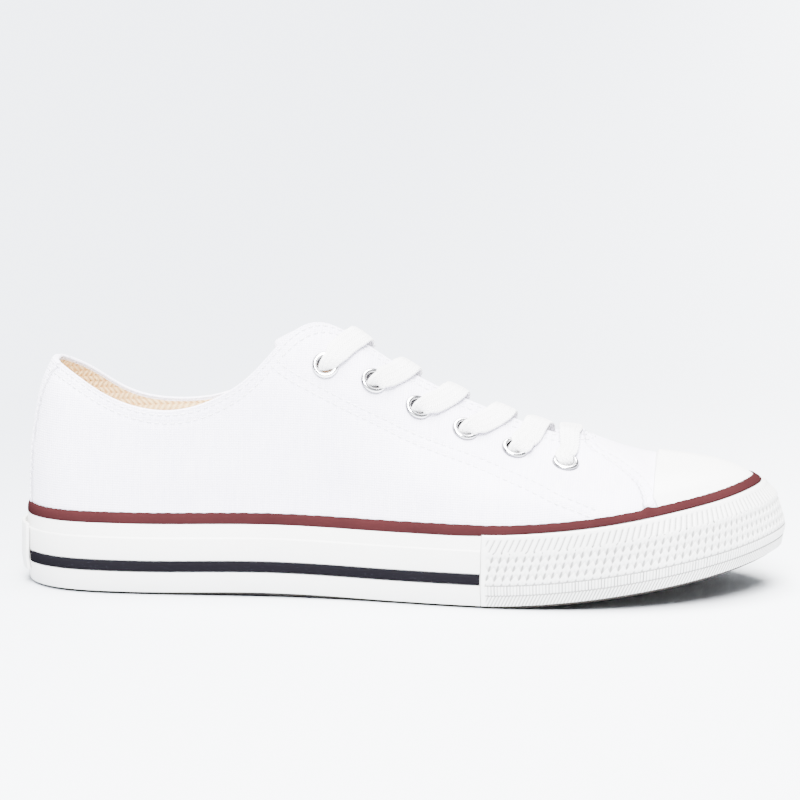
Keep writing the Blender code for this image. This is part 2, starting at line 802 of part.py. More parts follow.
def make_eyelet(side, number, look):
    """Turned metal ring: flange on the canvas, barrel through it, edge rolled over inside."""
    hole, barrel, flange = EYELET_HOLE / 2, EYELET_HOLE / 2 + EYELET_METAL, EYELET_FLANGE / 2
    rise, sink = eyelet_lift(side, number)
    face = 2 * CLEARANCE + rise
    back = -(CANVAS + 2.5 * CLEARANCE + sink)
    profile = (
        (hole, face + EYELET_CROWN - EYELET_METAL / 2),
        (barrel + EYELET_METAL / 2, face + EYELET_CROWN),
        (flange, face),
        (barrel, face),
        (barrel, back),
        (barrel + 2 * EYELET_METAL, back),
        (hole, back - EYELET_METAL),
    )
    centre, normal = eyelet_seat(side, number)
    forward, across = frame_of(normal)
    shape = bmesh.new()
    loop = [shape.verts.new(centre + r * forward + lift * normal) for r, lift in profile]
    edges = [shape.edges.new((loop[i], loop[(i + 1) % len(loop)])) for i in range(len(loop))]
    bmesh.ops.spin(
        shape,
        geom=loop + edges,
        cent=centre,
        axis=normal,
        angle=math.tau,
        steps=EYELET_SIDES,
        use_merge=True,
    )
    side_name = "lateral" if side < 0 else "medial"
    return finish(f"eyelet_{side_name}_{number + 1}", shape, look)


def make_toe_cap(look):
    """Smooth rubber cap over the front of the upper, cut square behind the toes."""
    line = CAP_BACK * LENGTH
    skirt = 0.02
    cap_gap = 2 * CLEARANCE

    def reach(turn):
        low, high = 0.0, 1.0
        for _ in range(40):
            middle = (low + high) / 2
            low, high = (middle, high) if on_upper(turn, middle)[0] > line else (low, middle)
        return middle

    start = turn_of(CAP_BACK)
    while reach(start) < 4 * skirt:
        start += 0.005
    finishing = math.tau - turn_of(CAP_BACK)
    while reach(finishing) < 4 * skirt:
        finishing -= 0.005
    outer, inner = [], []
    for turn in turns_between(start, finishing):
        shares = np.linspace(skirt, reach(turn), 6)
        outer.append([off_upper(turn, share, cap_gap + CAP_THICKNESS) for share in shares])
        inner.append([off_upper(turn, share, cap_gap) for share in shares])
    return sheet("toe_cap", outer, inner, look)


def tongue_rows():
    """Outer face of the tongue, from its tip behind the flaps to under the vamp."""
    under = -(CANVAS + TONGUE_GAP)
    below = under - EYELET_METAL - 2 * CLEARANCE
    drops = (
        # down from the throat's edge, out of the canvas
        (TONGUE_REACH, below),
        (EYELET_INSET - EYELET_FLANGE / 2, below),
        (0.5 * MM, under),
    )
    rows = []
    last = eyelet_distance(EYELETS - 1)
    for distance in np.linspace(TONGUE_TOP, last, 9):
        turn = throat_turn(-1, distance)
        far = throat_turn(1, distance)
        left = [off_upper(turn, up_from_edge(turn, drop), out) for drop, out in drops]
        right = [off_upper(far, up_from_edge(far, drop), out) for drop, out in reversed(drops)]
        crown = 0.5 * (left[-1] + right[0]) + np.array([0, 0, TONGUE_CROWN])
        rows.append(left + [crown] + right)
    tip = np.array(rows[0]) + TONGUE_TIP * np.array([-1.0, 0, -TONGUE_SAG])
    front = [(turn_of(base), drop) for base, drop in TONGUE_FRONT]
    front += [(math.tau - turn, drop) for turn, drop in reversed(front[:-1])]
    toe = [off_upper(turn, up_from_edge(turn, drop), below) for turn, drop in front]
    return [list(tip)] + rows + [toe]


def make_tongue(look):
    rows = tongue_rows()
    normals = grid_normals(rows)
    inner = np.array(rows) - normals * TONGUE
    return sheet("tongue", rows, inner, look)


def add_strap(shape, points, normals):
    """Flat lace along points, lying square to normals."""
    points = np.array(points)
    runs = np.gradient(points, axis=0)
    sections = []
    for point, run, normal in zip(points, runs, normals):
        across = np.cross(run, normal)
        across *= LACE_WIDTH / 2 / np.linalg.norm(across)
        lift = np.cross(across, run)
        lift *= LACE_THICKNESS / 2 / np.linalg.norm(lift)
        sections.append([
            point + across + lift,
            point - across + lift,
            point - across - lift,
            point + across - lift,
        ])
    grid = skin(shape, sections, False, True)
    shape.faces.new(grid[0])
    shape.faces.new(grid[-1])


def flap_point(side, distance, drop, lift):
    """Lace centre above a flap, drop down from the throat's edge."""
    turn = throat_turn(side, distance)
    up = up_from_edge(turn, drop)
    return off_upper(turn, up, lift), upper_normal(turn, up)


def lace_path(side, number, over):
    """Lace from under one flap, across the tongue, to the next eyelet up on the other side."""
    low, high = eyelet_distance(number + 1), eyelet_distance(number)
    riding = CLEARANCE + LACE_THICKNESS / 2 + eyelet_lift(-side, number)[0]
    steeper = LACE_LOWEST if number == EYELETS - 2 else 0.0

    def along(share):
        return low + (share + (1 - share) * steeper) * (high - low)

    edge, normal = flap_point(side, low + LACE_UNDER * (high - low), 0, 0)
    other, other_normal = flap_point(-side, along(LACE_FAR), 0, 0)
    lane = other - edge
    up = (normal + other_normal) / np.linalg.norm(normal + other_normal)
    sunk = TONGUE_CROWN - CANVAS - TONGUE_GAP + 2 * CLEARANCE + LACE_THICKNESS / 2
    points = [edge + LACE_START * lane + sunk * up, edge + lane / 2 + (LACE_CROWN + over) * up]
    normals = [up, up]
    for share, drop, lift in LACE_RUN:
        point, normal = flap_point(-side, along(share), drop * eyelet_inset(number), riding + lift)
        points.append(point)
        normals.append(normal)
    return points, normals


def make_lace_cross(number, look):
    """Two lace runs that cross over the tongue, joined where they meet."""
    name = f"lace_cross_{number + 1}"
    runs = []
    for side, over in ((-1, 0.0), (1, LACE_OVER)):
        shape = bmesh.new()
        add_strap(shape, *lace_path(side, number, over))
        runs.append(finish(name if side < 0 else name + "_run", shape, look))
    boolean(runs[0], runs[1], "UNION")
    return runs[0]


def make_lace_bar(look):
    """Lace run straight across the lowest pair of eyelets."""
    distance = eyelet_distance(EYELETS - 1)
    inset = eyelet_inset(EYELETS - 1)
    points, normals = [], []
    for side in (-1, 1):
        riding = CLEARANCE + LACE_THICKNESS / 2 + eyelet_lift(side, EYELETS - 1)[0]
        for drop, lift in BAR_RUN if side < 0 else reversed(BAR_RUN):
            point, normal = flap_point(side, distance, drop * inset, riding + lift)
            points.append(point)
            normals.append(normal)
    shape = bmesh.new()
    add_strap(shape, points, normals)
    return finish("lace_bar", shape, look)


def centre_on_floor(objects):
    """Put the origin under the middle of the shoe's box, on the floor."""
    corners = np.array([vertex.co[:] for made in objects for vertex in made.data.vertices])
    low, high = corners.min(axis=0), corners.max(axis=0)
    shift = (-(low[0] + high[0]) / 2, -(low[1] + high[1]) / 2, -low[2])
    for made in objects:
        shape = bmesh.new()
        shape.from_mesh(made.data)
        bmesh.ops.translate(shape, verts=shape.verts, vec=shift)
        shape.to_mesh(made.data)
        shape.free()
    print("shifted by", [round(value / MM, 3) for value in shift])
    print("size in mm", [round(value, 2) for value in (high - low) / MM])


def main():
    for old in list(bpy.data.objects):
        bpy.data.objects.remove(old)
    canvas = material("white_canvas", (0.86, 0.86, 0.90), 0.9)
    rubber = material("white_rubber", (0.87, 0.86, 0.83), 0.45)
    maroon = material("maroon_rubber", (0.19, 0.035, 0.045), 0.5)
    dark = material("charcoal_rubber", (0.035, 0.035, 0.05), 0.5)
    tread = material("tread_rubber", (0.72, 0.70, 0.66), 0.7)
    cotton = material("lace_cotton", (0.88, 0.87, 0.85), 0.85)
    steel = material("eyelet_metal", (0.75, 0.75, 0.77), 0.25, 1.0)
    lining = material("beige_twill", (0.80, 0.66, 0.46), 0.9)
    made = [
        make_outsole(tread),
        make_insole(lining),
        make_foxing(rubber),
        make_stripe("lateral", dark),
        make_stripe("medial", dark),
        make_patch(rubber),
        make_bumper(rubber),
        make_piping(maroon),
        make_upper(canvas),
        make_toe_cap(rubber),
        make_tongue(canvas),
        make_lace_bar(cotton),
    ]
    for number in range(EYELETS):
        for side in (-1, 1):
            made.append(make_eyelet(side, number, steel))
    for number in range(EYELETS - 1):
        made.append(make_lace_cross(number, cotton))
    centre_on_floor(made)


main()
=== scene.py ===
# %% [markdown]
# # Dressing a low canvas sneaker
# The solids of a right shoe come ready made, in metres, with the toe along +X, the inner side along
# +Y and the sole on the floor. They are right in size and place, and they stay as they are. What
# they lack is everything that cloth and rubber show from close by: weave, stitches, rolled edges,
# the moulded toe bumper and a threaded lace. One way would be to paint all of it on the solids.
# Here each soft piece is made again from the same last, with enough points to carry that detail.
# %% Load the solids of the shoe
import json
import math

import bmesh
import bpy
import numpy as np
from mathutils import Matrix, Vector, kdtree

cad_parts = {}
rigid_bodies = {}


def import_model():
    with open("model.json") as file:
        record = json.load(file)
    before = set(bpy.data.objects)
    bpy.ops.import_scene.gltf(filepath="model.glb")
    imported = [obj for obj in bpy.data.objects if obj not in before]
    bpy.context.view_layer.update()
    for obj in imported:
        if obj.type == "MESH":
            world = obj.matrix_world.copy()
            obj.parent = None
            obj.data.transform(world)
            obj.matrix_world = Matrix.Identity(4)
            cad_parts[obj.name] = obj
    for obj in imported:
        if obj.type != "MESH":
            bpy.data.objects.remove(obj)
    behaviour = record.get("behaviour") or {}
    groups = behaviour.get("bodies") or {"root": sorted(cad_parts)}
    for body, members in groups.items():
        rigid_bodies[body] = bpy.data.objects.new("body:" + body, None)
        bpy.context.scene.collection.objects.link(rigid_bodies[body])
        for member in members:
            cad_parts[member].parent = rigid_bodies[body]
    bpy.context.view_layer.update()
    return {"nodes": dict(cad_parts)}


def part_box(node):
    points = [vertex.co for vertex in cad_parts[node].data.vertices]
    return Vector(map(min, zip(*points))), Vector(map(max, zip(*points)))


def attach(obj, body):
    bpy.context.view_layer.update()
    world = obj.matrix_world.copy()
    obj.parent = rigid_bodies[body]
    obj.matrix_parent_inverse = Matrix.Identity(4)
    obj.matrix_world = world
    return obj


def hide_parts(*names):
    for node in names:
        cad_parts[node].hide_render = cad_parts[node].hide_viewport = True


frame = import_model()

MM = 0.001
print("solids", sorted(frame["nodes"]))

# %% [markdown]
# ## The last
# A shoemaker works round a last, and every piece follows its surface. Sculpting each piece by hand
# would let them drift apart. A last written as functions keeps them together: an outline round the
# sole, a wall that leans on it, and ribs that climb from the wall to the collar and the throat. A
# turn says how far round the shoe a place is: 0 at the heel, pi at the toe, outer side first.
# %% Sizes of the last, as the solids have them
LENGTH = 288.4 * MM
BALL_WIDTH = 101.0 * MM
HEEL_WIDTH = 68.6 * MM
HEEL_HEIGHT = 86.0 * MM
INSTEP_HEIGHT = 102.0 * MM
COLLAR_WIDTH = 54.0 * MM
THROAT_GAP = 20.0 * MM
TOE_SPRING = 15.8 * MM
ARCH_RISE = 0.8 * MM
TIP_SHIFT = 6.0 * MM
THROAT_SHIFT = 2.0 * MM
MEDIAL_DROP = 3.2 * MM
FLAP_DROP = 5.5 * MM
THROAT_DROP = 3.8 * MM
SIDE_LEAN = 2.6 * MM
HEEL_LEAN = 0.5 * MM
TOE_LEAN = 10.5 * MM
TUCK = 1.7 * MM
TOE_DROP = 0.03
CLEARANCE = 0.3 * MM
CORE_HEEL = 12.0 * MM
CORE_TOE = 9.5 * MM
FOXING_WALL = 1.6 * MM
FOXING_BOTTOM = 0.5 * MM
FOXING_TOP = 27.6 * MM
LEDGE_HEIGHT = 21.6 * MM
STRIPE_BOTTOM = 9.3 * MM
STRIPE_TOP = 13.0 * MM
PIPING_HEIGHT = 3.0 * MM
WALL_TOP = FOXING_TOP + CLEARANCE + PIPING_HEIGHT
WALL_BELLY = CORE_TOE - 0.5 * MM
CANVAS_FACE = -(FOXING_WALL + CLEARANCE)
CANVAS = 2.0 * MM
BUMPER_START = 0.613
FLAP_CORNER = 0.41

print("last", round(LENGTH / MM, 1), "mm long and", round(BALL_WIDTH / MM, 1), "mm over the ball")

# %% Outline and ribs as tables
# Sole outline: along is a share of LENGTH, lateral and medial are shares of the local width
OUTLINE = (
    # along, lateral, medial
    (0.02, 0.267, 0.267),
    (0.07, 0.428, 0.425),
    (0.16, 0.488, 0.478),
    (0.30, 0.503, 0.459),
    (0.44, 0.489, 0.412),
    (0.56, 0.495, 0.435),
    (0.68, 0.498, 0.478),
    (0.78, 0.489, 0.491),
    (0.87, 0.416, 0.446),
    (0.94, 0.282, 0.356),
    (0.98, 0.129, 0.233),
)

# Ribs of the upper: where each starts and ends, then three bends as shares of the way in and up
RIBS = (
    # base, top_along, top_across, top_height, in1, up1, in2, up2, in3, up3
    (0.00, 0.0425, 0.000, 1.000, 0.03, 0.30, 0.24, 0.60, 0.58, 0.85),
    (0.03, 0.0520, 0.176, 0.984, 0.04, 0.30, 0.26, 0.60, 0.60, 0.85),
    (0.08, 0.0860, 0.335, 0.925, 0.06, 0.30, 0.30, 0.60, 0.64, 0.85),
    (0.15, 0.1400, 0.444, 0.838, 0.08, 0.30, 0.34, 0.60, 0.68, 0.85),
    (0.22, 0.2050, 0.502, 0.808, 0.08, 0.30, 0.36, 0.60, 0.70, 0.85),
    (0.29, 0.2700, 0.518, 0.813, 0.08, 0.30, 0.35, 0.60, 0.70, 0.85),
    (0.34, 0.3180, 0.500, 0.862, 0.07, 0.30, 0.32, 0.60, 0.66, 0.85),
    (0.375, 0.3520, 0.440, 0.946, 0.06, 0.30, 0.26, 0.60, 0.60, 0.86),
    (0.41, 0.3850, 0.385, 1.000, 0.06, 0.30, 0.24, 0.60, 0.62, 0.87),
    (0.46, 0.4300, 0.400, 0.961, 0.05, 0.28, 0.20, 0.55, 0.53, 0.85),
    (0.52, 0.4950, 0.500, 0.843, 0.08, 0.27, 0.32, 0.56, 0.60, 0.81),
    (0.60, 0.5750, 0.480, 0.727, 0.10, 0.26, 0.36, 0.49, 0.64, 0.72),
    (0.68, 0.6450, 0.460, 0.647, 0.10, 0.26, 0.36, 0.46, 0.66, 0.67),
    (0.77, 0.6950, 0.430, 0.596, 0.10, 0.22, 0.36, 0.40, 0.67, 0.59),
    (0.87, 0.7220, 0.340, 0.586, 0.08, 0.20, 0.35, 0.42, 0.70, 0.66),
    (0.95, 0.7330, 0.180, 0.586, 0.08, 0.18, 0.40, 0.41, 0.70, 0.63),
    (1.00, 0.7370, 0.000, 0.588, 0.09, 0.16, 0.40, 0.41, 0.69, 0.58),
)
print(len(OUTLINE), "stations round the sole and", len(RIBS), "ribs a side")


# %% [markdown]
# A few stations are enough to describe a smooth body, if a cubic curve runs through them. Blender
# has curve objects for that, but they can't be asked for a point at any place. This small class
# can, for one place or a whole array of them.
# %% Smooth curves through a few stations
def ease(value, start, end):
    """Soft step from 0 at start to 1 at end."""
    share = np.clip((value - start) / (end - start), 0.0, 1.0)
    return share * share * (3 - 2 * share)


class Smooth:
    """Cubic curve through values at knots; with a period it closes on itself."""

    def __init__(self, knots, values, period=None):
        knots = np.asarray(knots, float)
        values = np.asarray(values, float)
        self.period = period
        if period is not None:
            knots = np.append(knots, knots[0] + period)
            values = np.concatenate([values, values[:1]])
        self.knots = knots
        self.values = values
        count = len(knots)
        step = np.diff(knots)
        slope = (np.diff(values, axis=0).T / step).T
        system = np.zeros((count, count))
        target = np.zeros_like(values)
        for i in range(1, count - 1):
            system[i, i - 1:i + 2] = step[i - 1], 2 * (step[i - 1] + step[i]), step[i]
            target[i] = 6 * (slope[i] - slope[i - 1])
        if period is None:
            system[0, 0] = system[-1, -1] = 1
        else:
            system[0, [0, 1, -2]] = 2 * (step[-1] + step[0]), step[0], step[-1]
            target[0] = 6 * (slope[0] - slope[-1])
            system[-1, [0, -1]] = 1, -1
        self.bends = np.linalg.solve(system, target)

    def at(self, place):
        place = np.asarray(place, float)
        if self.period is not None:
            place = self.knots[0] + (place - self.knots[0]) % self.period
        i = np.clip(np.searchsorted(self.knots, place) - 1, 0, len(self.knots) - 2)
        step = self.knots[i + 1] - self.knots[i]
        b = (place - self.knots[i]) / step
        if self.values.ndim > 1:
            b, step = b[..., None], step[..., None]
        a = 1 - b
        curve = ((a ** 3 - a) * self.bends[i] + (b ** 3 - b) * self.bends[i + 1]) * step ** 2 / 6
        return a * self.values[i] + b * self.values[i + 1] + curve


def travel_along(points):
    """Distance from the first of a row of points to each of them."""
    steps = np.linalg.norm(np.diff(points, axis=0), axis=1)
    return np.concatenate([[0], np.cumsum(steps)])


def unit(vectors):
    """The same directions, 1 long."""
    return vectors / np.linalg.norm(vectors, axis=-1, keepdims=True)


def turn_of(along):
    """Turn on the outer side where the outline is that far along the shoe."""
    return math.acos(1 - 2 * along)


def ring_of(turns, lateral, medial):
    """Closed curve from half tables whose first row is the heel and last row the toe."""
    knots = list(turns) + [math.tau - turn for turn in reversed(turns[1:-1])]
    return Smooth(knots, list(lateral) + list(reversed(medial[1:-1])), period=math.tau)


print("a curve through 0, 1, 0 is", float(Smooth([0, 1, 2], [0, 1, 0]).at(0.5)), "high at 0.5")


# %% Outline and side wall
def local_width(along):
    return HEEL_WIDTH + (BALL_WIDTH - HEEL_WIDTH) * ease(along, 0.3, 0.7)


OUTLINE_CURVE = ring_of(
    [0.0] + [turn_of(row[0]) for row in OUTLINE] + [math.pi],
    [0.0] + [-row[1] * local_width(row[0]) for row in OUTLINE] + [TIP_SHIFT],
    [0.0] + [row[2] * local_width(row[0]) for row in OUTLINE] + [TIP_SHIFT],
)


def along_of(turn):
    return (1 - np.cos(turn)) / 2


def outline(turn):
    return np.stack([LENGTH * along_of(turn), OUTLINE_CURVE.at(turn)], axis=-1)


def outward(turn):
    """Unit vector away from the shoe, level with the ground."""
    small = 1e-3
    run = outline(turn + small) - outline(turn - small)
    return unit(np.stack([run[..., 1], -run[..., 0]], axis=-1))


def ground(along):
    """Height of the underside: flat at heel and ball, a low arch, and the spring of the toe."""
    arch = ARCH_RISE * ease(along, 0.16, 0.33) * (1 - ease(along, 0.33, 0.50))
    return arch + TOE_SPRING * np.clip((along - 0.62) / 0.38, 0, None) ** 1.5


def core_height(along):
    return CORE_HEEL + (CORE_TOE - CORE_HEEL) * ease(along, 0.25, 0.65)


# The solids stand with their box on the origin, so the last is moved to where they are
fine_outline = outline(np.linspace(0, math.tau, 1441))
heel_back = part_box("foxing")[0].x
bumper_middle = (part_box("toe_bumper")[0].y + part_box("toe_bumper")[1].y) / 2
own_middle = (fine_outline[:, 1].min() + fine_outline[:, 1].max()) / 2
SHIFT = np.array([heel_back, bumper_middle - own_middle, 0.0])
print("last moved by", SHIFT.round(5))


def wall(turn, out, height):
    """Point of the side wall, out from the rubber's face and above the sole's edge."""
    turn = np.asarray(turn, float)
    out = np.asarray(out, float)
    height = np.asarray(height, float)
    along = along_of(turn)
    over = (LEDGE_HEIGHT - WALL_BELLY) / (WALL_TOP - WALL_BELLY)
    lean = HEEL_LEAN + (SIDE_LEAN - HEEL_LEAN) * ease(along, 0.0, 0.15)
    lean = lean + (TOE_LEAN - SIDE_LEAN) * ease(along, 0.72, 1.0)
    low = TUCK * (1 - np.clip(height / WALL_BELLY, 0, 1))
    middle = lean * over ** 2 * np.clip((height - WALL_BELLY) / (LEDGE_HEIGHT - WALL_BELLY), 0, 1)
    top = lean * (1 - over ** 2) * np.clip((height - LEDGE_HEIGHT) / (WALL_TOP - LEDGE_HEIGHT), 0, 1)
    flat = outline(turn) + (out - low - middle - top)[..., None] * outward(turn)
    rise = height * (1 - TOE_DROP * ease(along, 0.85, 1.0))
    level = ground(flat[..., 0] / LENGTH) + rise
    return np.stack([flat[..., 0], flat[..., 1], level], axis=-1) + SHIFT


# %% Ribs of the upper
def medial_drop(along):
    """How much lower the inner top edge lies than the outer one."""
    collar = MEDIAL_DROP * ease(along, 0.05, 0.14)
    flap = (FLAP_DROP - MEDIAL_DROP) * ease(along, 0.20, 0.30)
    throat = (FLAP_DROP - THROAT_DROP) * ease(along, 0.40, 0.55)
    return collar + flap - throat - THROAT_DROP * ease(along, 0.66, 0.737)


def top_curve():
    """Top edge of the upper: collar, flap corners and throat, as one closed curve."""
    edges = {-1: [], 1: []}
    for base, along, out_share, up_share, *bends in RIBS:
        opening = COLLAR_WIDTH + (THROAT_GAP - COLLAR_WIDTH) * ease(along, 0.34, 0.47)
        height = HEEL_HEIGHT + (INSTEP_HEIGHT - HEEL_HEIGHT) * ease(along, 0.20, 0.36)
        centre = THROAT_SHIFT * ease(along, 0.3, 0.75)
        drop = medial_drop(along)
        for side in (-1, 1):
            rise = up_share * height - (drop if side > 0 else 0)
            place = np.array([LENGTH * along, centre + side * out_share * opening, rise])
            edges[side].append(place + SHIFT)
    return ring_of([turn_of(row[0]) for row in RIBS], edges[-1], edges[1])


TOP_CURVE = top_curve()
BEND_ROWS = [row[4:] for row in RIBS]
BEND_CURVE = ring_of([turn_of(row[0]) for row in RIBS], BEND_ROWS, BEND_ROWS)
RIB_STORE = {}


def rib(turn):
    """Curve up the upper from the piping's top edge (knot 0) to the collar or throat."""
    key = round(float(turn) % math.tau, 9)
    if key not in RIB_STORE:
        below, foot = wall([turn, turn], CANVAS_FACE, [WALL_TOP - 2 * PIPING_HEIGHT, WALL_TOP])
        top = TOP_CURVE.at(turn)
        bends = BEND_CURVE.at(turn)
        points = [below, foot]
        for way_in, way_up in zip(bends[0::2], bends[1::2]):
            points.append(foot + (top - foot) * np.array([way_in, way_in, way_up]))
        points.append(top)
        lengths = np.linalg.norm(np.diff(points, axis=0), axis=1)
        knots = np.concatenate([[-lengths[0]], [0], np.cumsum(lengths[1:])])
        RIB_STORE[key] = Smooth(knots, points)
    return RIB_STORE[key]


print("rib at the heel", round(rib(0.0).knots[-1] / MM, 1), "mm long")


# %% Places on the upper and steps along an edge
def rib_length(turn):
    return rib(turn).knots[-1]


def on_upper(turn, up):
    """Point of the canvas at a share of the way up its rib."""
    curve = rib(turn)
    return curve.at(up * curve.knots[-1])


def upper_normal(turn, up):
    """Unit vector out of the canvas."""
    small = 2e-3
    climb = on_upper(turn, min(up + small, 1)) - on_upper(turn, max(up - small, 0))
    run = on_upper(turn + small, up) - on_upper(turn - small, up)
    return unit(np.cross(run, climb))


def up_from_edge(turn, distance):
    """Share of the rib at a distance down from the top edge."""
    return 1 - distance / rib_length(turn)


def even_turns(count, start=0.0, end=math.tau):
    """Turns at even steps along the outline, ends included."""
    fine = np.linspace(start, end, 2881)
    travel = travel_along(outline(fine))
    return np.interp(np.linspace(0, travel[-1], count + 1), travel, fine)


corner_turns = np.linspace(turn_of(FLAP_CORNER), math.pi, 300)
THROAT_TRAVEL = travel_along(TOP_CURVE.at(corner_turns))


def throat_turn(side, distance):
    """Turn whose rib meets the throat at a distance from the flap's top corner."""
    turn = float(np.interp(distance, THROAT_TRAVEL, corner_turns))
    return turn if side < 0 else math.tau - turn


print("throat edge", round(THROAT_TRAVEL[-1] / MM, 1), "mm")


# %% [markdown]
# ## Finishes as arithmetic
# A finish is a small calculation over the surface: where a thread runs, how far a place is from a
# seam. Wiring Math nodes by hand hides that calculation. So one class wraps a socket and lets
# Python's own operators add the nodes, and one method adds every other kind of node.
# %% A value in a material
class Value:
    """Output of a shader node that takes part in arithmetic."""

    def __init__(self, finish, socket):
        self.finish = finish
        self.socket = socket

    def maths(self, operation, *others):
        return self.finish.number(operation, self, *others)

    def __add__(self, other):
        return self.maths("ADD", other)

    def __sub__(self, other):
        return self.maths("SUBTRACT", other)

    def __rsub__(self, other):
        return self.finish.number("SUBTRACT", other, self)

    def __mul__(self, other):
        return self.maths("MULTIPLY", other)

    def __abs__(self):
        return self.maths("ABSOLUTE")

    def sine(self):
        return self.maths("SINE")

    def highest(self, other):
        return self.maths("MAXIMUM", other)

    def between(self, low, high):
        """0 below low, 1 above high, and a soft step between."""
        inputs = {"Value": self, "From Min": low, "From Max": high}
        return self.finish.node("ShaderNodeMapRange", {"interpolation_type": "SMOOTHSTEP"}, inputs)

    __radd__ = __add__
    __rmul__ = __mul__


# %% The material itself
class Finish:
    """A material being made: a Principled shader and the nodes that feed it."""

    def __init__(self, name, colour, roughness, metallic=0.0):
        self.material = bpy.data.materials.new(name)
        self.material.use_nodes = True
        self.shader = self.material.node_tree.nodes["Principled BSDF"]
        self.colour = (*colour, 1.0)
        self.set("Base Color", self.colour)
        self.set("Roughness", roughness)
        self.set("Metallic", metallic)

    def node(self, kind, settings=None, inputs=None, output=0):
        """Add a node: its settings first, then the values or links of its sockets."""
        made = self.material.node_tree.nodes.new(kind)
        for name, value in (settings or {}).items():
            setattr(made, name, value)
        for name, value in (inputs or {}).items():
            self.join(made.inputs[name], value)
        return Value(self, made.outputs[output])

    def join(self, socket, value):
        if isinstance(value, Value):
            self.material.node_tree.links.new(value.socket, socket)
        else:
            socket.default_value = value

    def set(self, name, value):
        self.join(self.shader.inputs[name], value)

    def number(self, operation, *values):
        return self.node("ShaderNodeMath", {"operation": operation}, dict(enumerate(values)))

    def axes(self, vector):
        """The three numbers of a vector."""
        split = self.node("ShaderNodeSeparateXYZ", inputs={"Vector": vector})
        return [Value(self, split.socket.node.outputs[k]) for k in range(3)]

    def place(self):
        """Object coordinates."""
        return self.node("ShaderNodeTexCoord", output="Object")

    def cloth(self):
        """Metres across and along the cloth, from the piece's own map."""
        return self.axes(self.node("ShaderNodeUVMap", {"uv_map": "cloth"}))[:2]

    def mark(self, name):
        """A number that the mesh holds at each point."""
        settings = {"attribute_type": "GEOMETRY", "attribute_name": name}
        return self.node("ShaderNodeAttribute", settings, output="Fac")

    def noise(self, scale, detail=2.0, vector=None):
        vector = vector or self.place()
        inputs = {"Vector": vector, "Scale": scale, "Detail": detail}
        return self.node("ShaderNodeTexNoise", inputs=inputs)

    def tint(self, share, other):
        """Mix the finish's colour with another by a share."""
        settings = {"data_type": "RGBA"}
        inputs = {0: share, 6: self.colour, 7: (*other, 1.0)}
        mixed = self.node("ShaderNodeMix", settings, inputs, output=2)
        self.set("Base Color", mixed)

    def relief(self, height, distance):
        """Raise or sink the surface by a height of 0 to 1 times a distance."""
        inputs = {"Height": height, "Distance": distance, "Strength": 1.0}
        self.set("Normal", self.node("ShaderNodeBump", inputs=inputs))


# %% [markdown]
# ## The cloths
# Canvas is a plain weave: each thread goes over one crossing and under the next, so the cloth is a
# chequer of small pillows. An image of cloth would blur or repeat. Two sine waves across the
# piece's own map give every thread, at its real pitch, wherever the piece bends.
# %% Canvas, lining, lace and thread
def plain_weave(pitch, across, along):
    """Height of a plain weave: one set of threads over, then the other."""
    first = (across * (math.pi / pitch)).sine()
    second = (along * (math.pi / pitch)).sine()
    over = first * second * 0.5
    return (abs(first) * (over + 0.5)).highest(abs(second) * (0.5 - over))


def canvas_finish(name, colour, shade, pitch, depth):
    """Woven cotton with uneven threads and, where stitches pull, a soft furrow."""
    finish = Finish(name, colour, 0.92)
    finish.set("Sheen Weight", 0.25)
    finish.set("Sheen Roughness", 0.5)
    across, along = finish.cloth()
    weave = plain_weave(pitch, across, along)
    spot = finish.node("ShaderNodeCombineXYZ", inputs={0: across * 900, 1: along * 90})
    slub = finish.noise(1.0, 3.0, spot)
    patch = finish.noise(55, 2.0)
    # The hollows of the weave are painted darker, as painted shade; the uneven threads and patches are
    # the cloth's own tone.
    tone_and_painted_shade = (1 - weave) * 0.35 + slub * 0.45 + patch * 0.2
    finish.tint(tone_and_painted_shade.between(0.15, 0.95), shade)
    pulled = finish.mark("pull")
    finish.relief(weave * 0.55 + slub * 0.5 + pulled * -1.2, depth)
    return finish.material


def twill_finish(name, colour, shade, pitch):
    """Herringbone tape: rows of slanting dashes, each row leaning the other way."""
    finish = Finish(name, colour, 0.9)
    across, along = finish.cloth()
    rows = (along * (math.pi / pitch)).sine()
    lean = finish.node("ShaderNodeMath", {"operation": "PINGPONG"}, {0: along, 1: pitch})
    dashes = ((across + lean * 0.7) * (math.tau / (pitch * 0.9))).sine()
    height = (dashes * 0.5 + 0.5) * 0.65 + abs(rows) * 0.35
    grain = finish.noise(1400, 2.0)
    finish.tint(1 - (height * 0.85 + grain * 0.2), shade)
    finish.relief(height + grain * 0.3, 0.35 * MM)
    return finish.material


BRAID_CHEVRON = 2.4 * MM
BRAID_RISE = 1.1 * MM
BRAID_PITCH = 1.15 * MM
BRAID_CORD = 1.2 * MM


def lace_finish(name, colour, shade):
    """Flat braid: two sets of slanting threads that make a row of chevrons."""
    finish = Finish(name, colour, 0.85)
    finish.set("Sheen Weight", 0.3)
    across, along = finish.cloth()
    zig = abs((across * (math.pi / BRAID_CHEVRON)).sine()) * BRAID_RISE + along
    braid = (zig * (math.tau / BRAID_PITCH)).sine() * 0.5 + 0.5
    cord = abs((across * (math.pi / BRAID_CORD)).sine())
    height = braid * 0.7 + cord * 0.3
    fuzz = finish.noise(1800, 3.0)
    # The braid's hollows are painted darker, as painted shade; the fuzz is an uneven tone of the cotton.
    finish.tint((1 - height) * 0.45 + fuzz * 0.4, shade)
    finish.relief(height + fuzz * 0.4, 0.22 * MM)
    return finish.material


def thread_finish(name, colour, shade):
    """Twisted sewing thread."""
    finish = Finish(name, colour, 0.7)
    twist = finish.noise(2600, 1.0)
    finish.tint(twist.between(0.3, 0.7), shade)
    return finish.material


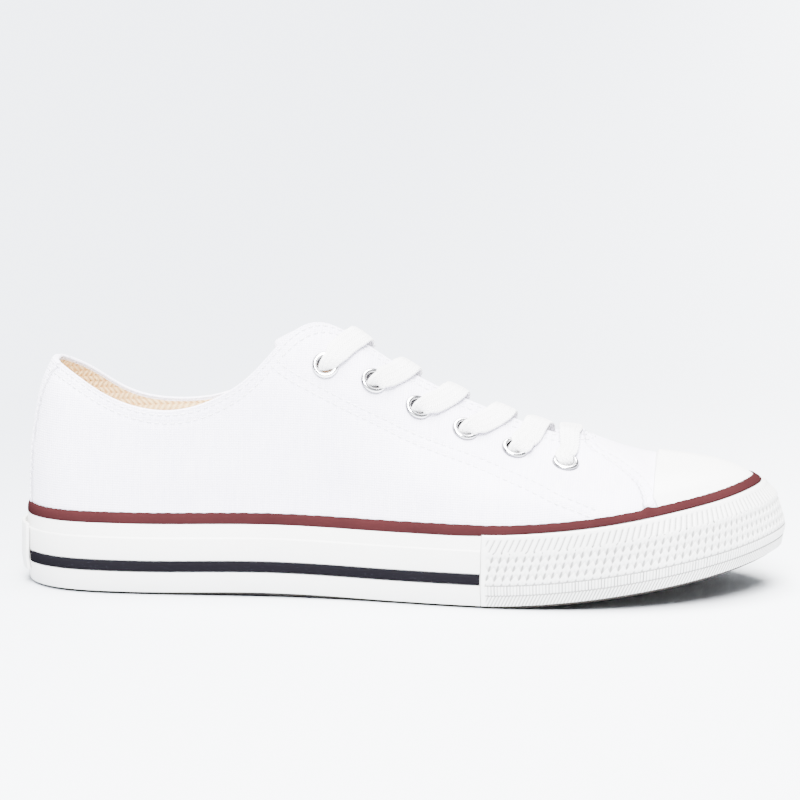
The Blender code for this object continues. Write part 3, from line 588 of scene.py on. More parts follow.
THREAD_PITCH = 0.9 * MM
THREAD_RELIEF = 0.26 * MM
HERRINGBONE = 2.6 * MM
WHITE, WHITE_SHADE = (0.93, 0.90, 0.99), (0.68, 0.66, 0.80)
CANVAS_CLOTH = canvas_finish("canvas_cloth", WHITE, WHITE_SHADE, THREAD_PITCH, THREAD_RELIEF)
TWILL = twill_finish("beige_twill", (0.95, 0.76, 0.42), (0.62, 0.37, 0.14), HERRINGBONE)
BRAID = lace_finish("lace_braid", (0.93, 0.925, 0.92), (0.72, 0.715, 0.715))
THREAD = thread_finish("sewing_thread", (0.92, 0.91, 0.94), (0.66, 0.65, 0.70))
for material in (CANVAS_CLOTH, TWILL, BRAID, THREAD):
    print(material.name, len(material.node_tree.nodes), "nodes")


# %% [markdown]
# ## Rubber and metal
# Vulcanised rubber is smooth but never a mirror: it has a faint skin, specks of dust and softer
# gloss where it is handled. Noise in the roughness and a very small relief are enough for that, and
# the moulded shapes are real geometry. The grooves of the toe bumper are also painted darker, as
# painted shade.
# %% Rubber of the sole, the stripe, the piping and the tread
def rubber_finish(name, colour, shade, roughness, skin=0.03 * MM, shine=0.5, paint_groove_shade=False):
    finish = Finish(name, colour, roughness)
    finish.set("Specular IOR Level", shine)
    cloud = finish.noise(35, 3.0)
    speck = finish.noise(1500, 2.0)
    tone_and_painted_shade = cloud.between(0.35, 0.75) * 0.5 + speck.between(0.62, 0.78) * 0.3
    # On the moulded bumper the grooves are painted darker by their depth: painted shade.
    if paint_groove_shade:
        tone_and_painted_shade = tone_and_painted_shade * 0.3 + finish.mark("groove_shade").between(0.1, 1.0) * 1.4
    finish.tint(tone_and_painted_shade, shade)
    finish.set("Roughness", cloud * 0.12 + speck * 0.08 + (roughness - 0.1))
    finish.relief(finish.noise(700, 3.0), skin)
    return finish.material


def metal_finish(name):
    """Nickel plate with a little tarnish and uneven gloss."""
    finish = Finish(name, (0.90, 0.90, 0.92), 0.22, 1.0)
    tarnish = finish.noise(400, 3.0)
    # The tarnish is the plate's own; the edges of the ring and the hole, given by the rim mark, are
    # painted dark, as painted shade.
    finish.tint((tarnish.between(0.45, 0.8) * 0.3).highest(finish.mark("rim")), (0.10, 0.10, 0.11))
    finish.set("Roughness", tarnish * 0.2 + 0.08)
    return finish.material


RUBBER = rubber_finish("white_rubber", (0.72, 0.72, 0.705), (0.66, 0.655, 0.635), 0.5)
MAROON, MAROON_SHADE = (0.029, 0.0085, 0.0092), (0.018, 0.0058, 0.0064)
PIPING_RUBBER = rubber_finish("maroon_rubber", MAROON, MAROON_SHADE, 0.6, shine=0.0)
CHARCOAL, CHARCOAL_DUST = (0.0052, 0.0048, 0.0062), (0.0062, 0.0058, 0.0074)
STRIPE_RUBBER = rubber_finish("charcoal_rubber", CHARCOAL, CHARCOAL_DUST, 0.6, shine=0.0)
# Near black, so that the sole's edge and the gap under it read as contact shadow: painted shade.
TREAD, TREAD_SHADE = (0.022, 0.018, 0.015), (0.015, 0.013, 0.012)
TREAD_RUBBER = rubber_finish("tread_rubber", TREAD, TREAD_SHADE, 0.62, 0.08 * MM, 0.2)
CAP_RUBBER = rubber_finish("cap_rubber", (0.86, 0.86, 0.855), (0.80, 0.80, 0.79), 0.5)
MOULDED, MOULDED_TONE_AND_GROOVE_SHADE = (0.75, 0.75, 0.74), (0.25, 0.25, 0.245)
MOULDED_RUBBER = rubber_finish("moulded_rubber", MOULDED, MOULDED_TONE_AND_GROOVE_SHADE, 0.5, paint_groove_shade=True)
NICKEL = metal_finish("eyelet_nickel")
print(len(bpy.data.materials), "materials so far")


# %% [markdown]
# ## Laying cloth over the last
# A flat grid is the natural start for a piece that covers a form: Blender makes the faces, and the
# last says where each point goes. The same helper carries the cloth's own map in metres, so that
# threads keep their pitch, and it closes a piece that runs round the shoe.
# %% Grids laid over the last
def drape(places, round_closed=False, up_closed=False, cloth=None, marks=None):
    """Lay a flat grid over an array of places, columns first; returns the bmesh."""
    cloth = places[..., :2] * 0 if cloth is None else cloth
    marks = marks or {}
    layers = [places, cloth] + list(marks.values())
    if round_closed:
        layers = [np.concatenate([layer, layer[:1]]) for layer in layers]
    if up_closed:
        layers = [np.concatenate([layer, layer[:, :1]], axis=1) for layer in layers]
    places, cloth = layers[:2]
    columns, rows = places.shape[0] - 1, places.shape[1] - 1
    shape = bmesh.new()
    cloth_map = shape.loops.layers.uv.new("cloth")
    fields = [shape.verts.layers.float.new(name) for name in marks]
    bmesh.ops.create_grid(shape, x_segments=columns, y_segments=rows, size=0.5)
    spots = {}
    for vert in shape.verts:
        spot = round((vert.co.x + 0.5) * columns), round((vert.co.y + 0.5) * rows)
        spots[vert] = spot
    for face in shape.faces:
        for loop in face.loops:
            loop[cloth_map].uv = cloth[spots[loop.vert]]
    for vert, spot in spots.items():
        vert.co = places[spot]
        for field, values in zip(fields, layers[2:]):
            vert[field] = values[spot]
    if round_closed or up_closed:
        bmesh.ops.remove_doubles(shape, verts=shape.verts, dist=1e-6)
    return shape


def pointing_out(places, closed=True):
    """Unit normals of an array of places, columns round the shoe and rows up it."""
    if closed:
        run = np.roll(places, -1, axis=0) - np.roll(places, 1, axis=0)
    else:
        run = np.gradient(places, axis=0)
    normals = np.cross(run, np.gradient(places, axis=1))
    return normals / np.maximum(np.linalg.norm(normals, axis=2, keepdims=True), 1e-12)


# %% Finished pieces
def close_ends(shape):
    """Cover what is still open at the two ends of a band."""
    open_edges = [edge for edge in shape.edges if edge.is_boundary]
    bmesh.ops.holes_fill(shape, edges=open_edges, sides=0)


def soften(shape, width, corner=math.radians(35)):
    """Round the long sharp edges of a piece."""
    sharp = [e for e in shape.edges if len(e.link_faces) == 2 and e.calc_face_angle() > corner]
    bmesh.ops.bevel(
        shape,
        geom=sharp,
        offset=width,
        offset_type="OFFSET",
        affect="EDGES",
        segments=2,
        profile=0.5,
        material=-1,
        clamp_overlap=True,
    )


def object_of(name, shape):
    """An object that takes over a bmesh."""
    mesh = bpy.data.meshes.new(name)
    shape.to_mesh(mesh)
    shape.free()
    made = bpy.data.objects.new(name, mesh)
    bpy.context.scene.collection.objects.link(made)
    return made


def finished(name, shape, look, slot, *nodes, sharp=math.radians(50)):
    """Make an object of a bmesh, ride it on the shoe and let it stand for its solids."""
    bmesh.ops.recalc_face_normals(shape, faces=shape.faces)
    piece = object_of(name, shape)
    piece.data.shade_smooth()
    piece.data.set_sharp_from_angle(angle=sharp)
    for material in look if isinstance(look, tuple) else (look,):
        piece.data.materials.append(material)
    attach(piece, "root")
    if nodes:
        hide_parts(*nodes)
    print(name, len(piece.data.polygons), "faces")
    return piece


# %% [markdown]
# ## Where the seams run
# On this shoe the front of each quarter laps over the vamp in a curve from the throat to the toe
# cap, a facing is stitched through behind the eyelets, two rows follow the collar, and a narrow
# strip covers the heel seam. The rows are listed in real places first, because the upper's surface
# has to rise at a lap and sink a little where thread pulls it.
# %% Seam tables
STRIP_WIDTH = 20.0 * MM
STRIP_THICKNESS = 0.8 * MM
QUARTER_LAP = 0.7 * MM
CAP_BACK = 0.832 * LENGTH

# Front edge of the quarters, seen from above: distance from the middle line and place along X
FRONT_SEAM = np.array((
    # across, forward
    (0.0, 69.0),
    (10.0, 70.2),
    (12.7, 71.8),
    (16.6, 77.8),
    (20.9, 82.5),
    (25.8, 86.1),
    (31.4, 89.4),
    (35.5, 91.3),
    (40.2, 92.7),
    (46.0, 93.6),
)) * MM
FRONT_MIDDLE = 2.2 * MM

# Facing behind the eyelets, seen from the side: its upper row of stitches
FACING_ROW = np.array((
    # forward, height
    (-44.6, 89.5),
    (-41.9, 87.0),
    (-37.7, 84.2),
    (-29.0, 79.6),
    (-22.4, 76.3),
    (-15.5, 73.0),
    (-6.3, 68.9),
    (2.0, 64.7),
    (16.9, 58.4),
    (34.4, 52.5),
    (43.1, 49.3),
    (53.8, 45.4),
    (62.0, 42.0),
    (69.3, 39.6),
    (74.9, 37.6),
)) * MM
ROW_GAP = 3.0 * MM
COLLAR_ROWS = (1.9 * MM, 5.0 * MM)
FRONT_ROWS = (1.6 * MM, 4.6 * MM)
STRIP_ROW = 9.2 * MM
STRIP_STITCH_PITCH = 2.6 * MM
STITCH_PITCH = 3.0 * MM


def evenly(points, pitch):
    """Places at a pitch along a smooth curve through points."""
    knots = travel_along(points)
    fine = Smooth(knots, points).at(np.linspace(0, knots[-1], 40 * len(points)))
    travel = travel_along(fine)
    marks = np.arange(pitch / 2, travel[-1], pitch)
    return np.stack([np.interp(marks, travel, column) for column in fine.T], axis=1)


print("front seam", round(travel_along(FRONT_SEAM)[-1] / MM, 1), "mm a side")


# %% [markdown]
# ## The upper
# The upper is one wall of cloth about 2 mm thick: canvas outside, twill lining inside, turned over
# in a round edge at the collar and the throat. It could be a sheet with a Solidify modifier, but
# then both faces would carry the same map and the edge would be square. Instead the grid runs up
# the outside, over the edge and down the inside, and closes on itself underneath.
# %% The canvas surface and its fields
COLUMNS = 620
ROWS = 62
RIM = CANVAS / 2
WALL_ROWS = (20.0 * MM, 25.5 * MM)

upper_turns = even_turns(COLUMNS)[:-1]
shares = np.linspace(0, 1, ROWS + 1)
ribs = []
for turn in upper_turns:
    curve = rib(turn)
    climb = shares * (curve.knots[-1] - RIM)
    ribs.append(np.concatenate([wall([turn] * 2, CANVAS_FACE, WALL_ROWS), curve.at(climb)]))
CANVAS_PLACES = np.array(ribs)
CANVAS_NORMALS = pointing_out(CANVAS_PLACES)
steps_up = np.linalg.norm(np.diff(CANVAS_PLACES, axis=1), axis=2)
CLIMB = np.concatenate([np.zeros((COLUMNS, 1)), np.cumsum(steps_up, axis=1)], axis=1)
print("canvas grid", CANVAS_PLACES.shape[:2])


def nearest_spot(target, axes, allowed):
    """Column and row of the canvas nearest to a place, seen along the axis left out."""
    apart = np.linalg.norm(CANVAS_PLACES[..., axes] - target, axis=2) + ~allowed[:, None]
    return np.unravel_index(np.argmin(apart), apart.shape)


def settle(target, axes, side):
    """Point and normal of the canvas under a place given by two of its axes."""
    i, j = nearest_spot(target, axes, upper_turns * side >= math.pi * side)
    j = min(max(j, 1), CANVAS_PLACES.shape[1] - 2)
    point = CANVAS_PLACES[i, j]
    run = (CANVAS_PLACES[(i + 1) % COLUMNS, j] - CANVAS_PLACES[i - 1, j]) / 2
    climb = (CANVAS_PLACES[i, j + 1] - CANVAS_PLACES[i, j - 1]) / 2
    system = np.stack([run[axes], climb[axes]], axis=1)
    away = np.linalg.lstsq(system, target - point[axes], rcond=None)[0].clip(-1.5, 1.5)
    return point + away[0] * run + away[1] * climb, CANVAS_NORMALS[i, j]


# %% Stitch rows as points on the canvas
SIDE_VIEW = [0, 2]
TOP_VIEW = [0, 1]
BACK_VIEW = [1, 2]
MIDDLE = SHIFT[1]


def collar_row(drop, start, end):
    """A row that keeps its distance from the collar and the throat, all the way round."""
    turns = np.linspace(start, end, 900)
    row = [on_upper(turn, up_from_edge(turn, drop)) for turn in turns]
    travel = travel_along(row)
    marks = np.interp(np.arange(STITCH_PITCH / 2, travel[-1], STITCH_PITCH), travel, turns)
    spots = [(turn, up_from_edge(turn, drop)) for turn in marks]
    return [(on_upper(*spot), upper_normal(*spot)) for spot in spots]


def parallel(points, gap):
    """The same open line, moved sideways by a gap."""
    run = np.gradient(points, axis=0)
    return points + gap * unit(np.stack([run[:, 1], -run[:, 0]], axis=1))


ROW_START = 0.14  # the turn where the heel strip covers the ends of the collar's rows
stitch_rows = [collar_row(drop, ROW_START, math.tau - ROW_START) for drop in COLLAR_ROWS]
for side in (-1, 1):
    for gap in (0.0, ROW_GAP):
        line = evenly(parallel(FACING_ROW, gap), STITCH_PITCH)
        stitch_rows.append([settle(spot, SIDE_VIEW, side) for spot in line])
    for gap in FRONT_ROWS:
        line = evenly(parallel(FRONT_SEAM[1:], -gap)[:, ::-1], STITCH_PITCH)
        line[:, 1] = FRONT_MIDDLE + side * line[:, 1]
        stitch_rows.append([settle(spot, TOP_VIEW, side) for spot in line])
    at_back = np.abs(upper_turns - (0 if side < 0 else math.tau)) < 0.6
    row = []
    for height in np.arange(33 * MM, 84 * MM, STRIP_STITCH_PITCH):
        spot = nearest_spot(np.array([MIDDLE + side * STRIP_ROW, height]), BACK_VIEW, at_back)
        row.append((CANVAS_PLACES[spot], CANVAS_NORMALS[spot]))
    stitch_rows.append(row)
print("stitches", sum(len(row) for row in stitch_rows))


# %% [markdown]
# Soft creases give canvas its life. They could be simulated, but this shoe stands empty and new, so
# only a few shallow ones show: where the facing ends, at the flex of the toes and behind the heel
# strip. Each is given as a line with a width and a depth.
# %% Laps, creases and pulled thread
CREASES = (
    # from forward, height, to forward, height, width, depth, all in mm
    (-92, 60, -86, 40, 12.0, 0.35),
    (-62, 63, -66, 42, 13.0, -0.30),
    (-38, 66, -44, 44, 14.0, 0.35),
    (-12, 58, -18, 40, 12.0, -0.30),
    (14, 52, 6, 38, 10.0, 0.28),
    (36, 46, 30, 36, 9.0, -0.25),
    (58, 44, 66, 38, 5.0, 0.30),
    (70, 50, 84, 42, 5.0, -0.35),
    (76, 54, 88, 50, 6.0, 0.25),
    (-118, 66, -112, 48, 9.0, -0.3),
)


def crease_field():
    """Height of all creases over the canvas."""
    field = np.zeros(CANVAS_PLACES.shape[:2])
    flat = CANVAS_PLACES[..., SIDE_VIEW]
    for x0, z0, x1, z1, width, depth in CREASES:
        start, end = np.array([x0, z0]) * MM, np.array([x1, z1]) * MM
        run = end - start
        share = np.clip((flat - start) @ run / (run @ run), 0, 1)
        apart = np.linalg.norm(flat - start - share[..., None] * run, axis=2)
        field += depth * MM * np.exp(-(apart / (width * MM)) ** 2)
    return field


def tree_of(points):
    """Search tree that finds the nearest of some points."""
    tree = kdtree.KDTree(len(points))
    for number, point in enumerate(points):
        tree.insert(point, number)
    tree.balance()
    return tree


def front_distance():
    """How far each point of the canvas lies in front of the quarters' edge."""
    tree = tree_of([(*spot, 0) for spot in evenly(FRONT_SEAM[:, ::-1], 1.0 * MM)])
    field = np.empty(CANVAS_PLACES.shape[:2])
    for spot in np.ndindex(field.shape):
        x, y = CANVAS_PLACES[spot][:2]
        across = abs(y - FRONT_MIDDLE)
        edge = np.interp(across, FRONT_SEAM[:, 0], FRONT_SEAM[:, 1])
        field[spot] = math.copysign(tree.find((x, across, 0))[2], x - edge)
    return field


def pull_field():
    """1 where a stitch lies, fading to 0 about a millimetre away."""
    tree = tree_of([stitch[0] for row in stitch_rows for stitch in row])
    field = np.empty(CANVAS_PLACES.shape[:2])
    for spot in np.ndindex(field.shape):
        field[spot] = math.exp(-(tree.find(CANVAS_PLACES[spot])[2] / (1.3 * MM)) ** 2)
    return field


FRONT = front_distance()
PULL = pull_field()
strip_away = np.abs(CANVAS_PLACES[..., 1] - MIDDLE) - STRIP_WIDTH / 2
at_heel = CANVAS_PLACES[..., 0] < heel_back + 25 * MM
ON_STRIP = np.where(at_heel, 1 - ease(strip_away, -0.3 * MM, 0.5 * MM), 0.0)
LAP = 1 - ease(FRONT, -0.2 * MM, 0.8 * MM)
LIFT = STRIP_THICKNESS * ON_STRIP + QUARTER_LAP * (LAP - 1) + crease_field() - 0.25 * MM * PULL
LIFT[:, :2] = 0.0
print("lift from", round(LIFT.min() / MM, 2), "to", round(LIFT.max() / MM, 2), "mm")


# %% The wall of the upper
LINING_FRONT = 0.365
RIM_ANGLES = (30, 60, 90, 120, 150)


def cloth_map(places):
    """Metres across and along the cloth: the strip, the quarters and the vamp are cut apart."""
    quarter = np.stack([places[..., 0], CLIMB], axis=-1)
    strip = np.stack([places[..., 1], places[..., 2]], axis=-1)
    slant = np.stack([places[..., 0] + places[..., 1], places[..., 0] - places[..., 1]], axis=-1)
    chosen = np.where((FRONT > 0.3 * MM)[..., None], slant * math.sqrt(0.5), quarter)
    return np.where((ON_STRIP > 0.5)[..., None], strip, chosen)


def make_upper():
    outside = CANVAS_PLACES + LIFT[..., None] * CANVAS_NORMALS
    edge = CANVAS_PLACES[:, -1]
    out = CANVAS_NORMALS[:, -1]
    climb = unit(edge - CANVAS_PLACES[:, -2])
    rim = []
    for angle in np.radians(RIM_ANGLES):
        rim.append(edge - RIM * out + RIM * (math.cos(angle) * out + math.sin(angle) * climb))
    rim = np.stack(rim, axis=1)
    inner_rows = [ROWS + 2, ROWS + 1] + list(range(ROWS - 1, 1, -3)) + [1, 0]
    inside = (CANVAS_PLACES - CANVAS * CANVAS_NORMALS)[:, inner_rows]
    foot = [wall(upper_turns, CANVAS_FACE - CANVAS, height) for height in WALL_ROWS[::-1]]
    inside[:, -2:] = np.stack(foot, axis=1)
    places = np.concatenate([outside, rim, inside], axis=1)
    outer_map = cloth_map(CANVAS_PLACES)
    around = np.repeat(travel_along(inside[:, 2])[:, None], len(inner_rows), axis=1)
    rim_steps = np.linspace(0.5, 2.5, len(RIM_ANGLES))[None, :, None]
    rim_map = outer_map[:, -1:] + rim_steps * np.array([0, MM])
    inner_map = np.stack([around, CLIMB[:, inner_rows]], axis=-1)
    cloth = np.concatenate([outer_map, rim_map, inner_map], axis=1)
    pull = np.concatenate([PULL, np.zeros((COLUMNS, len(RIM_ANGLES) + len(inner_rows)))], axis=1)
    pull[:, :2] = 0
    shape = drape(places, True, True, cloth, {"pull": pull})
    lining_top = CANVAS_PLACES.shape[1] + len(RIM_ANGLES) + 1
    rows = places.shape[1]
    shape.faces.ensure_lookup_table()
    for number, face in enumerate(shape.faces):
        row = number // COLUMNS
        at_collar = along_of(upper_turns[number % COLUMNS]) < LINING_FRONT
        face.material_index = 1 if at_collar and lining_top <= row < rows - 1 else 0
    return shape


upper_shape = make_upper()
print("upper closed:", all(edge.is_manifold for edge in upper_shape.edges))

# %% [markdown]
# A Boolean cuts the twelve holes through both faces of the cloth at once, square to the surface,
# as a punch does. Deleting faces would leave ragged rims. The cutters are short cylinders on the
# seats of the eyelets, and they are thrown away after the cut.
# %% Eyelet seats
EYELETS = 6
EYELET_FIRST = 4.5 * MM
EYELET_PITCH = 19.2 * MM
EYELET_INSET = 17.0 * MM
EYELET_PLACES = (
    # travel, inset
    (-0.11, 1.09),
    (0.96, 1.18),
    (2.08, 1.02),
    (3.13, 0.96),
    (4.14, 0.98),
    (5.00, 1.02),
)
EYELET_HOLE = 5.9 * MM
EYELET_FLANGE = 10.2 * MM
EYELET_METAL = 0.4 * MM


def eyelet_distance(number):
    return EYELET_FIRST + EYELET_PLACES[number][0] * EYELET_PITCH


def eyelet_inset(number):
    return EYELET_INSET * EYELET_PLACES[number][1]


def flap(side, distance, drop, lift=0.0):
    """Point over a flap, drop down from the throat's edge, and the way out of the canvas."""
    turn = throat_turn(side, distance)
    up = up_from_edge(turn, drop)
    normal = upper_normal(turn, up)
    return on_upper(turn, up) + lift * normal, normal


def eyelet_matrix(side, number):
    """Place of an eyelet as a matrix whose Z axis points out of the canvas."""
    centre, normal = flap(side, eyelet_distance(number), eyelet_inset(number))
    matrix = Vector(normal).to_track_quat("Z", "Y").to_matrix().to_4x4()
    matrix.translation = centre
    return matrix


print("seats from", [round(x / MM, 1) for x in flap(-1, eyelet_distance(0), eyelet_inset(0))[0]], "mm")


# %% The punched upper
punch_shape = bmesh.new()
for side in (-1, 1):
    for number in range(EYELETS):
        bmesh.ops.create_cone(
            punch_shape,
            cap_ends=True,
            segments=32,
            radius1=EYELET_HOLE / 2 + EYELET_METAL,
            radius2=EYELET_HOLE / 2 + EYELET_METAL,
            depth=6 * CANVAS,
            matrix=eyelet_matrix(side, number),
        )
punches = object_of("punches", punch_shape)
upper = finished("canvas_upper", upper_shape, (CANVAS_CLOTH, TWILL), "white_canvas", "upper")
cut = upper.modifiers.new("holes", "BOOLEAN")
cut.operation = "DIFFERENCE"
cut.solver = "EXACT"
cut.object = punches
punched = bpy.data.meshes.new_from_object(upper.evaluated_get(bpy.context.evaluated_depsgraph_get()))
upper.modifiers.clear()
upper.data = punched
bpy.data.objects.remove(punches)
print("punched upper", len(upper.data.polygons), "faces")


# %% [markdown]
# ## Stitches
# A lockstitch shows as a row of short, plump dashes that dip into the cloth at both ends. A painted
# dashed line has no light and shade. Each dash here is a small stretched ball, turned along its row
# and pressed halfway into the canvas.
# %% Thread along the rows
STITCH_SIZE = (2.3 * MM, 0.75 * MM, 0.6 * MM)
STITCH_RISE = 0.18 * MM


def canvas_lift(point):
    """How far the dressed canvas lies above the last at a place on it."""
    i, j = np.unravel_index(np.argmin(((CANVAS_PLACES - point) ** 2).sum(axis=2)), FRONT.shape)
    return LIFT[i, j]


def add_stitch(shape, centre, run, normal):
    """A plump dash: a small ball stretched along the row."""
    run = Vector(run).normalized()
    side = Vector(normal).cross(run).normalized()
    turn = Matrix((run, side, run.cross(side))).transposed().to_4x4()
    turn.translation = Vector(centre)
    ball = turn @ Matrix.Diagonal((*STITCH_SIZE, 1))
    bmesh.ops.create_uvsphere(shape, u_segments=6, v_segments=5, radius=0.5, matrix=ball)


stitch_shape = bmesh.new()
for row in stitch_rows:
    points = np.array([point + canvas_lift(point) * normal for point, normal in row])
    runs = np.gradient(points, axis=0)
    for point, run, (_, normal) in zip(points, runs, row):
        add_stitch(stitch_shape, point + STITCH_RISE * normal, run, normal)
finished("stitches", stitch_shape, THREAD, "white_canvas")


# %% [markdown]
# ## Tongue and insole
# The tongue is a sheet of cloth and the insole a thin, firm pad, and both have rounded borders. A
# Solidify modifier keeps square edges, so each is laid as a pillow instead: an upper and a lower
# face that come together at the border.
# %% Pillows
def pillow(middle, thickness, rim):
    """Closed sheet round a middle surface: full thickness inside, rounded at the border."""
    columns, rows = middle.shape[:2]
    run = np.linalg.norm(np.diff(middle, axis=0), axis=2).mean()
    climb = np.linalg.norm(np.diff(middle, axis=1), axis=2).mean()
    i = np.minimum(np.arange(columns), np.arange(columns)[::-1])[:, None] * run / rim
    j = np.minimum(np.arange(rows), np.arange(rows)[::-1])[None, :] * climb / rim
    inside = [np.sqrt(1 - (1 - np.clip(share, 0, 1)) ** 2) for share in (i, j)]
    half = (thickness / 2 * inside[0] * inside[1])[..., None] * pointing_out(middle, False)
    top, bottom = middle + half, middle - half
    return np.concatenate([top, bottom[:, -2:0:-1]], axis=1)


def mean_travel(places, axis):
    """Distance along one axis of a surface, as the mean over the other."""
    steps = np.linalg.norm(np.diff(places, axis=axis), axis=2).mean(axis=1 - axis)
    return np.concatenate([[0], np.cumsum(steps)])


def fine_surface(rows, count_u, count_v):
    """Smooth surface through a coarse table of places."""
    knots = mean_travel(rows, 1)
    marks = np.linspace(0, knots[-1], count_v)
    fine = np.array([Smooth(knots, row).at(marks) for row in rows])
    knots = mean_travel(fine, 0)
    surface = Smooth(knots, fine.reshape(len(rows), -1)).at(np.linspace(0, knots[-1], count_u))
    return surface.reshape(count_u, count_v, 3)


def metres_map(places):
    """Map whose numbers are metres along both axes of a surface, for both faces of a pillow."""
    u, v = mean_travel(places, 0), mean_travel(places, 1)
    flat = np.stack(np.meshgrid(u, v, indexing="ij"), axis=-1)
    return np.concatenate([flat, flat[:, -2:0:-1]], axis=1), (float(v[-1]), float(u[-1]))


# %% The tongue
TONGUE = 2.0 * MM
TONGUE_RIM = 1.2 * MM
TONGUE_GAP = 0.9 * MM
TONGUE_REACH = 19.0 * MM
TONGUE_TOP = 6.0 * MM
TONGUE_TIP = 18.5 * MM
TONGUE_SAG = 0.32
TONGUE_CROWN = 0.4 * MM
TONGUE_GRID = (150, 64)
TONGUE_FRONT = ((0.84, 16 * MM), (0.89, 13 * MM), (0.95, 10 * MM), (1.00, 9 * MM))


def tongue_table():
    """Outer face of the tongue, from its tip behind the flaps to under the vamp."""
    under = -(CANVAS + TONGUE_GAP)
    below = under - EYELET_METAL - 2 * CLEARANCE
    drops = (
        # down from the throat's edge, out of the canvas
        (TONGUE_REACH, below),
        (EYELET_INSET - EYELET_FLANGE / 2, below),
        (0.5 * MM, under),
    )
    rows = []
    for distance in np.linspace(TONGUE_TOP, eyelet_distance(EYELETS - 1), 9):
        left = [flap(-1, distance, drop, out)[0] for drop, out in drops]
        right = [flap(1, distance, drop, out)[0] for drop, out in reversed(drops)]
        crown = 0.5 * (left[-1] + right[0]) + np.array([0, 0, TONGUE_CROWN])
        rows.append(left + [crown] + right)
    tip = np.array(rows[0]) + TONGUE_TIP * np.array([-1, 0, -TONGUE_SAG])
    front = [(turn_of(base), drop) for base, drop in TONGUE_FRONT]
    front += [(math.tau - turn, drop) for turn, drop in reversed(front[:-1])]
    toe = []
    for turn, drop in front:
        up = up_from_edge(turn, drop)
        toe.append(on_upper(turn, up) + below * upper_normal(turn, up))
    return [list(tip)] + rows + [toe]


tongue_outer = fine_surface(tongue_table(), *TONGUE_GRID)
tongue_normals = pointing_out(tongue_outer, False)
if tongue_normals[TONGUE_GRID[0] // 2, TONGUE_GRID[1] // 2, 2] < 0:
    tongue_outer = tongue_outer[:, ::-1]
    tongue_normals = pointing_out(tongue_outer, False)
tongue_places = pillow(tongue_outer - TONGUE / 2 * tongue_normals, TONGUE, TONGUE_RIM)
tongue_cloth, tongue_size = metres_map(tongue_outer)
tongue_shape = drape(tongue_places, False, True, tongue_cloth)
tongue = finished("canvas_tongue", tongue_shape, CANVAS_CLOTH, "white_canvas", "tongue")
print("tongue cut to", [round(side / MM, 1) for side in tongue_size], "mm")


# %% The insole
INSOLE = 4.0 * MM
INSOLE_RIM = 2.0 * MM
INSOLE_GRID = (150, 50)


def insole_places():
    """Sheet inside the upper, from heel to toe, on top of the core."""
    rows = []
    for turn in even_turns(INSOLE_GRID[0], 0.06, math.pi - 0.05):
        lift = core_height(along_of(turn)) + CLEARANCE + INSOLE / 2
        out = CANVAS_FACE - CANVAS - CLEARANCE
        near, far = wall([turn, math.tau - turn], out, lift)
        rows.append(near + np.linspace(0, 1, INSOLE_GRID[1])[:, None] * (far - near))
    return np.array(rows)


sheet_places = insole_places()
insole_cloth = metres_map(sheet_places)[0]
insole_shape = drape(pillow(sheet_places, INSOLE, INSOLE_RIM), False, True, insole_cloth)
insole = finished("padded_insole", insole_shape, TWILL, "beige_twill", "insole")
insole_reach = np.ptp(sheet_places, axis=(0, 1))
print("insole", [round(float(side) / MM, 1) for side in insole_reach[:2]], "mm")


# %% [markdown]
# ## Rubber round the sole
# The foxing tape, the stripe, the piping and the heel patch are strips with one section all along,
# so each is that section carried along the wall of the last. A curve with a bevel object would do
# the same but would twist at the heel. Their long edges are rounded a little, as moulded rubber is.
# %% Strips along the wall and the foxing tape
LEDGE_STEP = 0.5 * MM
STRIPE_DEPTH = 0.7 * MM
STRIPE_PROUD = 0.25 * MM
PIPING_PROUD = 0.9 * MM
PATCH_WIDTH = 30.0 * MM
PATCH_BOTTOM = 5.5 * MM
PATCH_TOP = 23.5 * MM
PATCH_THICKNESS = 1.7 * MM
TAPE_ROUND = 0.25 * MM
STRIPE_ROUND = 0.15 * MM
PATCH_ROUND = 0.45 * MM


def strip(name, turns, profile, look, slot, node, width):
    """Carry a section of (out, height) along the wall and round its long edges."""
    outs, heights = np.array(profile).T
    places = np.array([wall([turn] * len(outs), outs, heights) for turn in turns])
    shape = drape(places, False, True)
    close_ends(shape)
    soften(shape, width)
    return finished(name, shape, look, slot, node)


def turn_at_width(half_width):
    """Turn near the heel where the outline is that far from the middle line."""
    turns = np.linspace(0, turn_of(0.2), 2000)
    return float(np.interp(half_width, -outline(turns)[:, 1], turns))


def column(out, low, high, count):
    """Places one above another in a section."""
    return [(out, height) for height in np.linspace(low, high, count)]


bumper_turn = turn_of(BUMPER_START)
FOXING_FOOT = FOXING_BOTTOM + 0.6 * MM
foxing_profile = column(-FOXING_WALL, FOXING_TOP, FOXING_FOOT, 6) + [
    (0.0, FOXING_FOOT),
    (0.0, STRIPE_BOTTOM - CLEARANCE),
    (-STRIPE_DEPTH, STRIPE_BOTTOM - CLEARANCE),
    (-STRIPE_DEPTH, STRIPE_TOP + CLEARANCE),
    (0.0, STRIPE_TOP + CLEARANCE),
    (0.0, (STRIPE_TOP + LEDGE_HEIGHT) / 2),
    (0.0, LEDGE_HEIGHT),
    (-LEDGE_STEP, LEDGE_HEIGHT + 0.4 * MM),
    (-LEDGE_STEP, FOXING_TOP),
]
foxing_turns = even_turns(420, -bumper_turn, bumper_turn)
strip("foxing_tape", foxing_turns, foxing_profile, RUBBER, "white_rubber", "foxing", TAPE_ROUND)

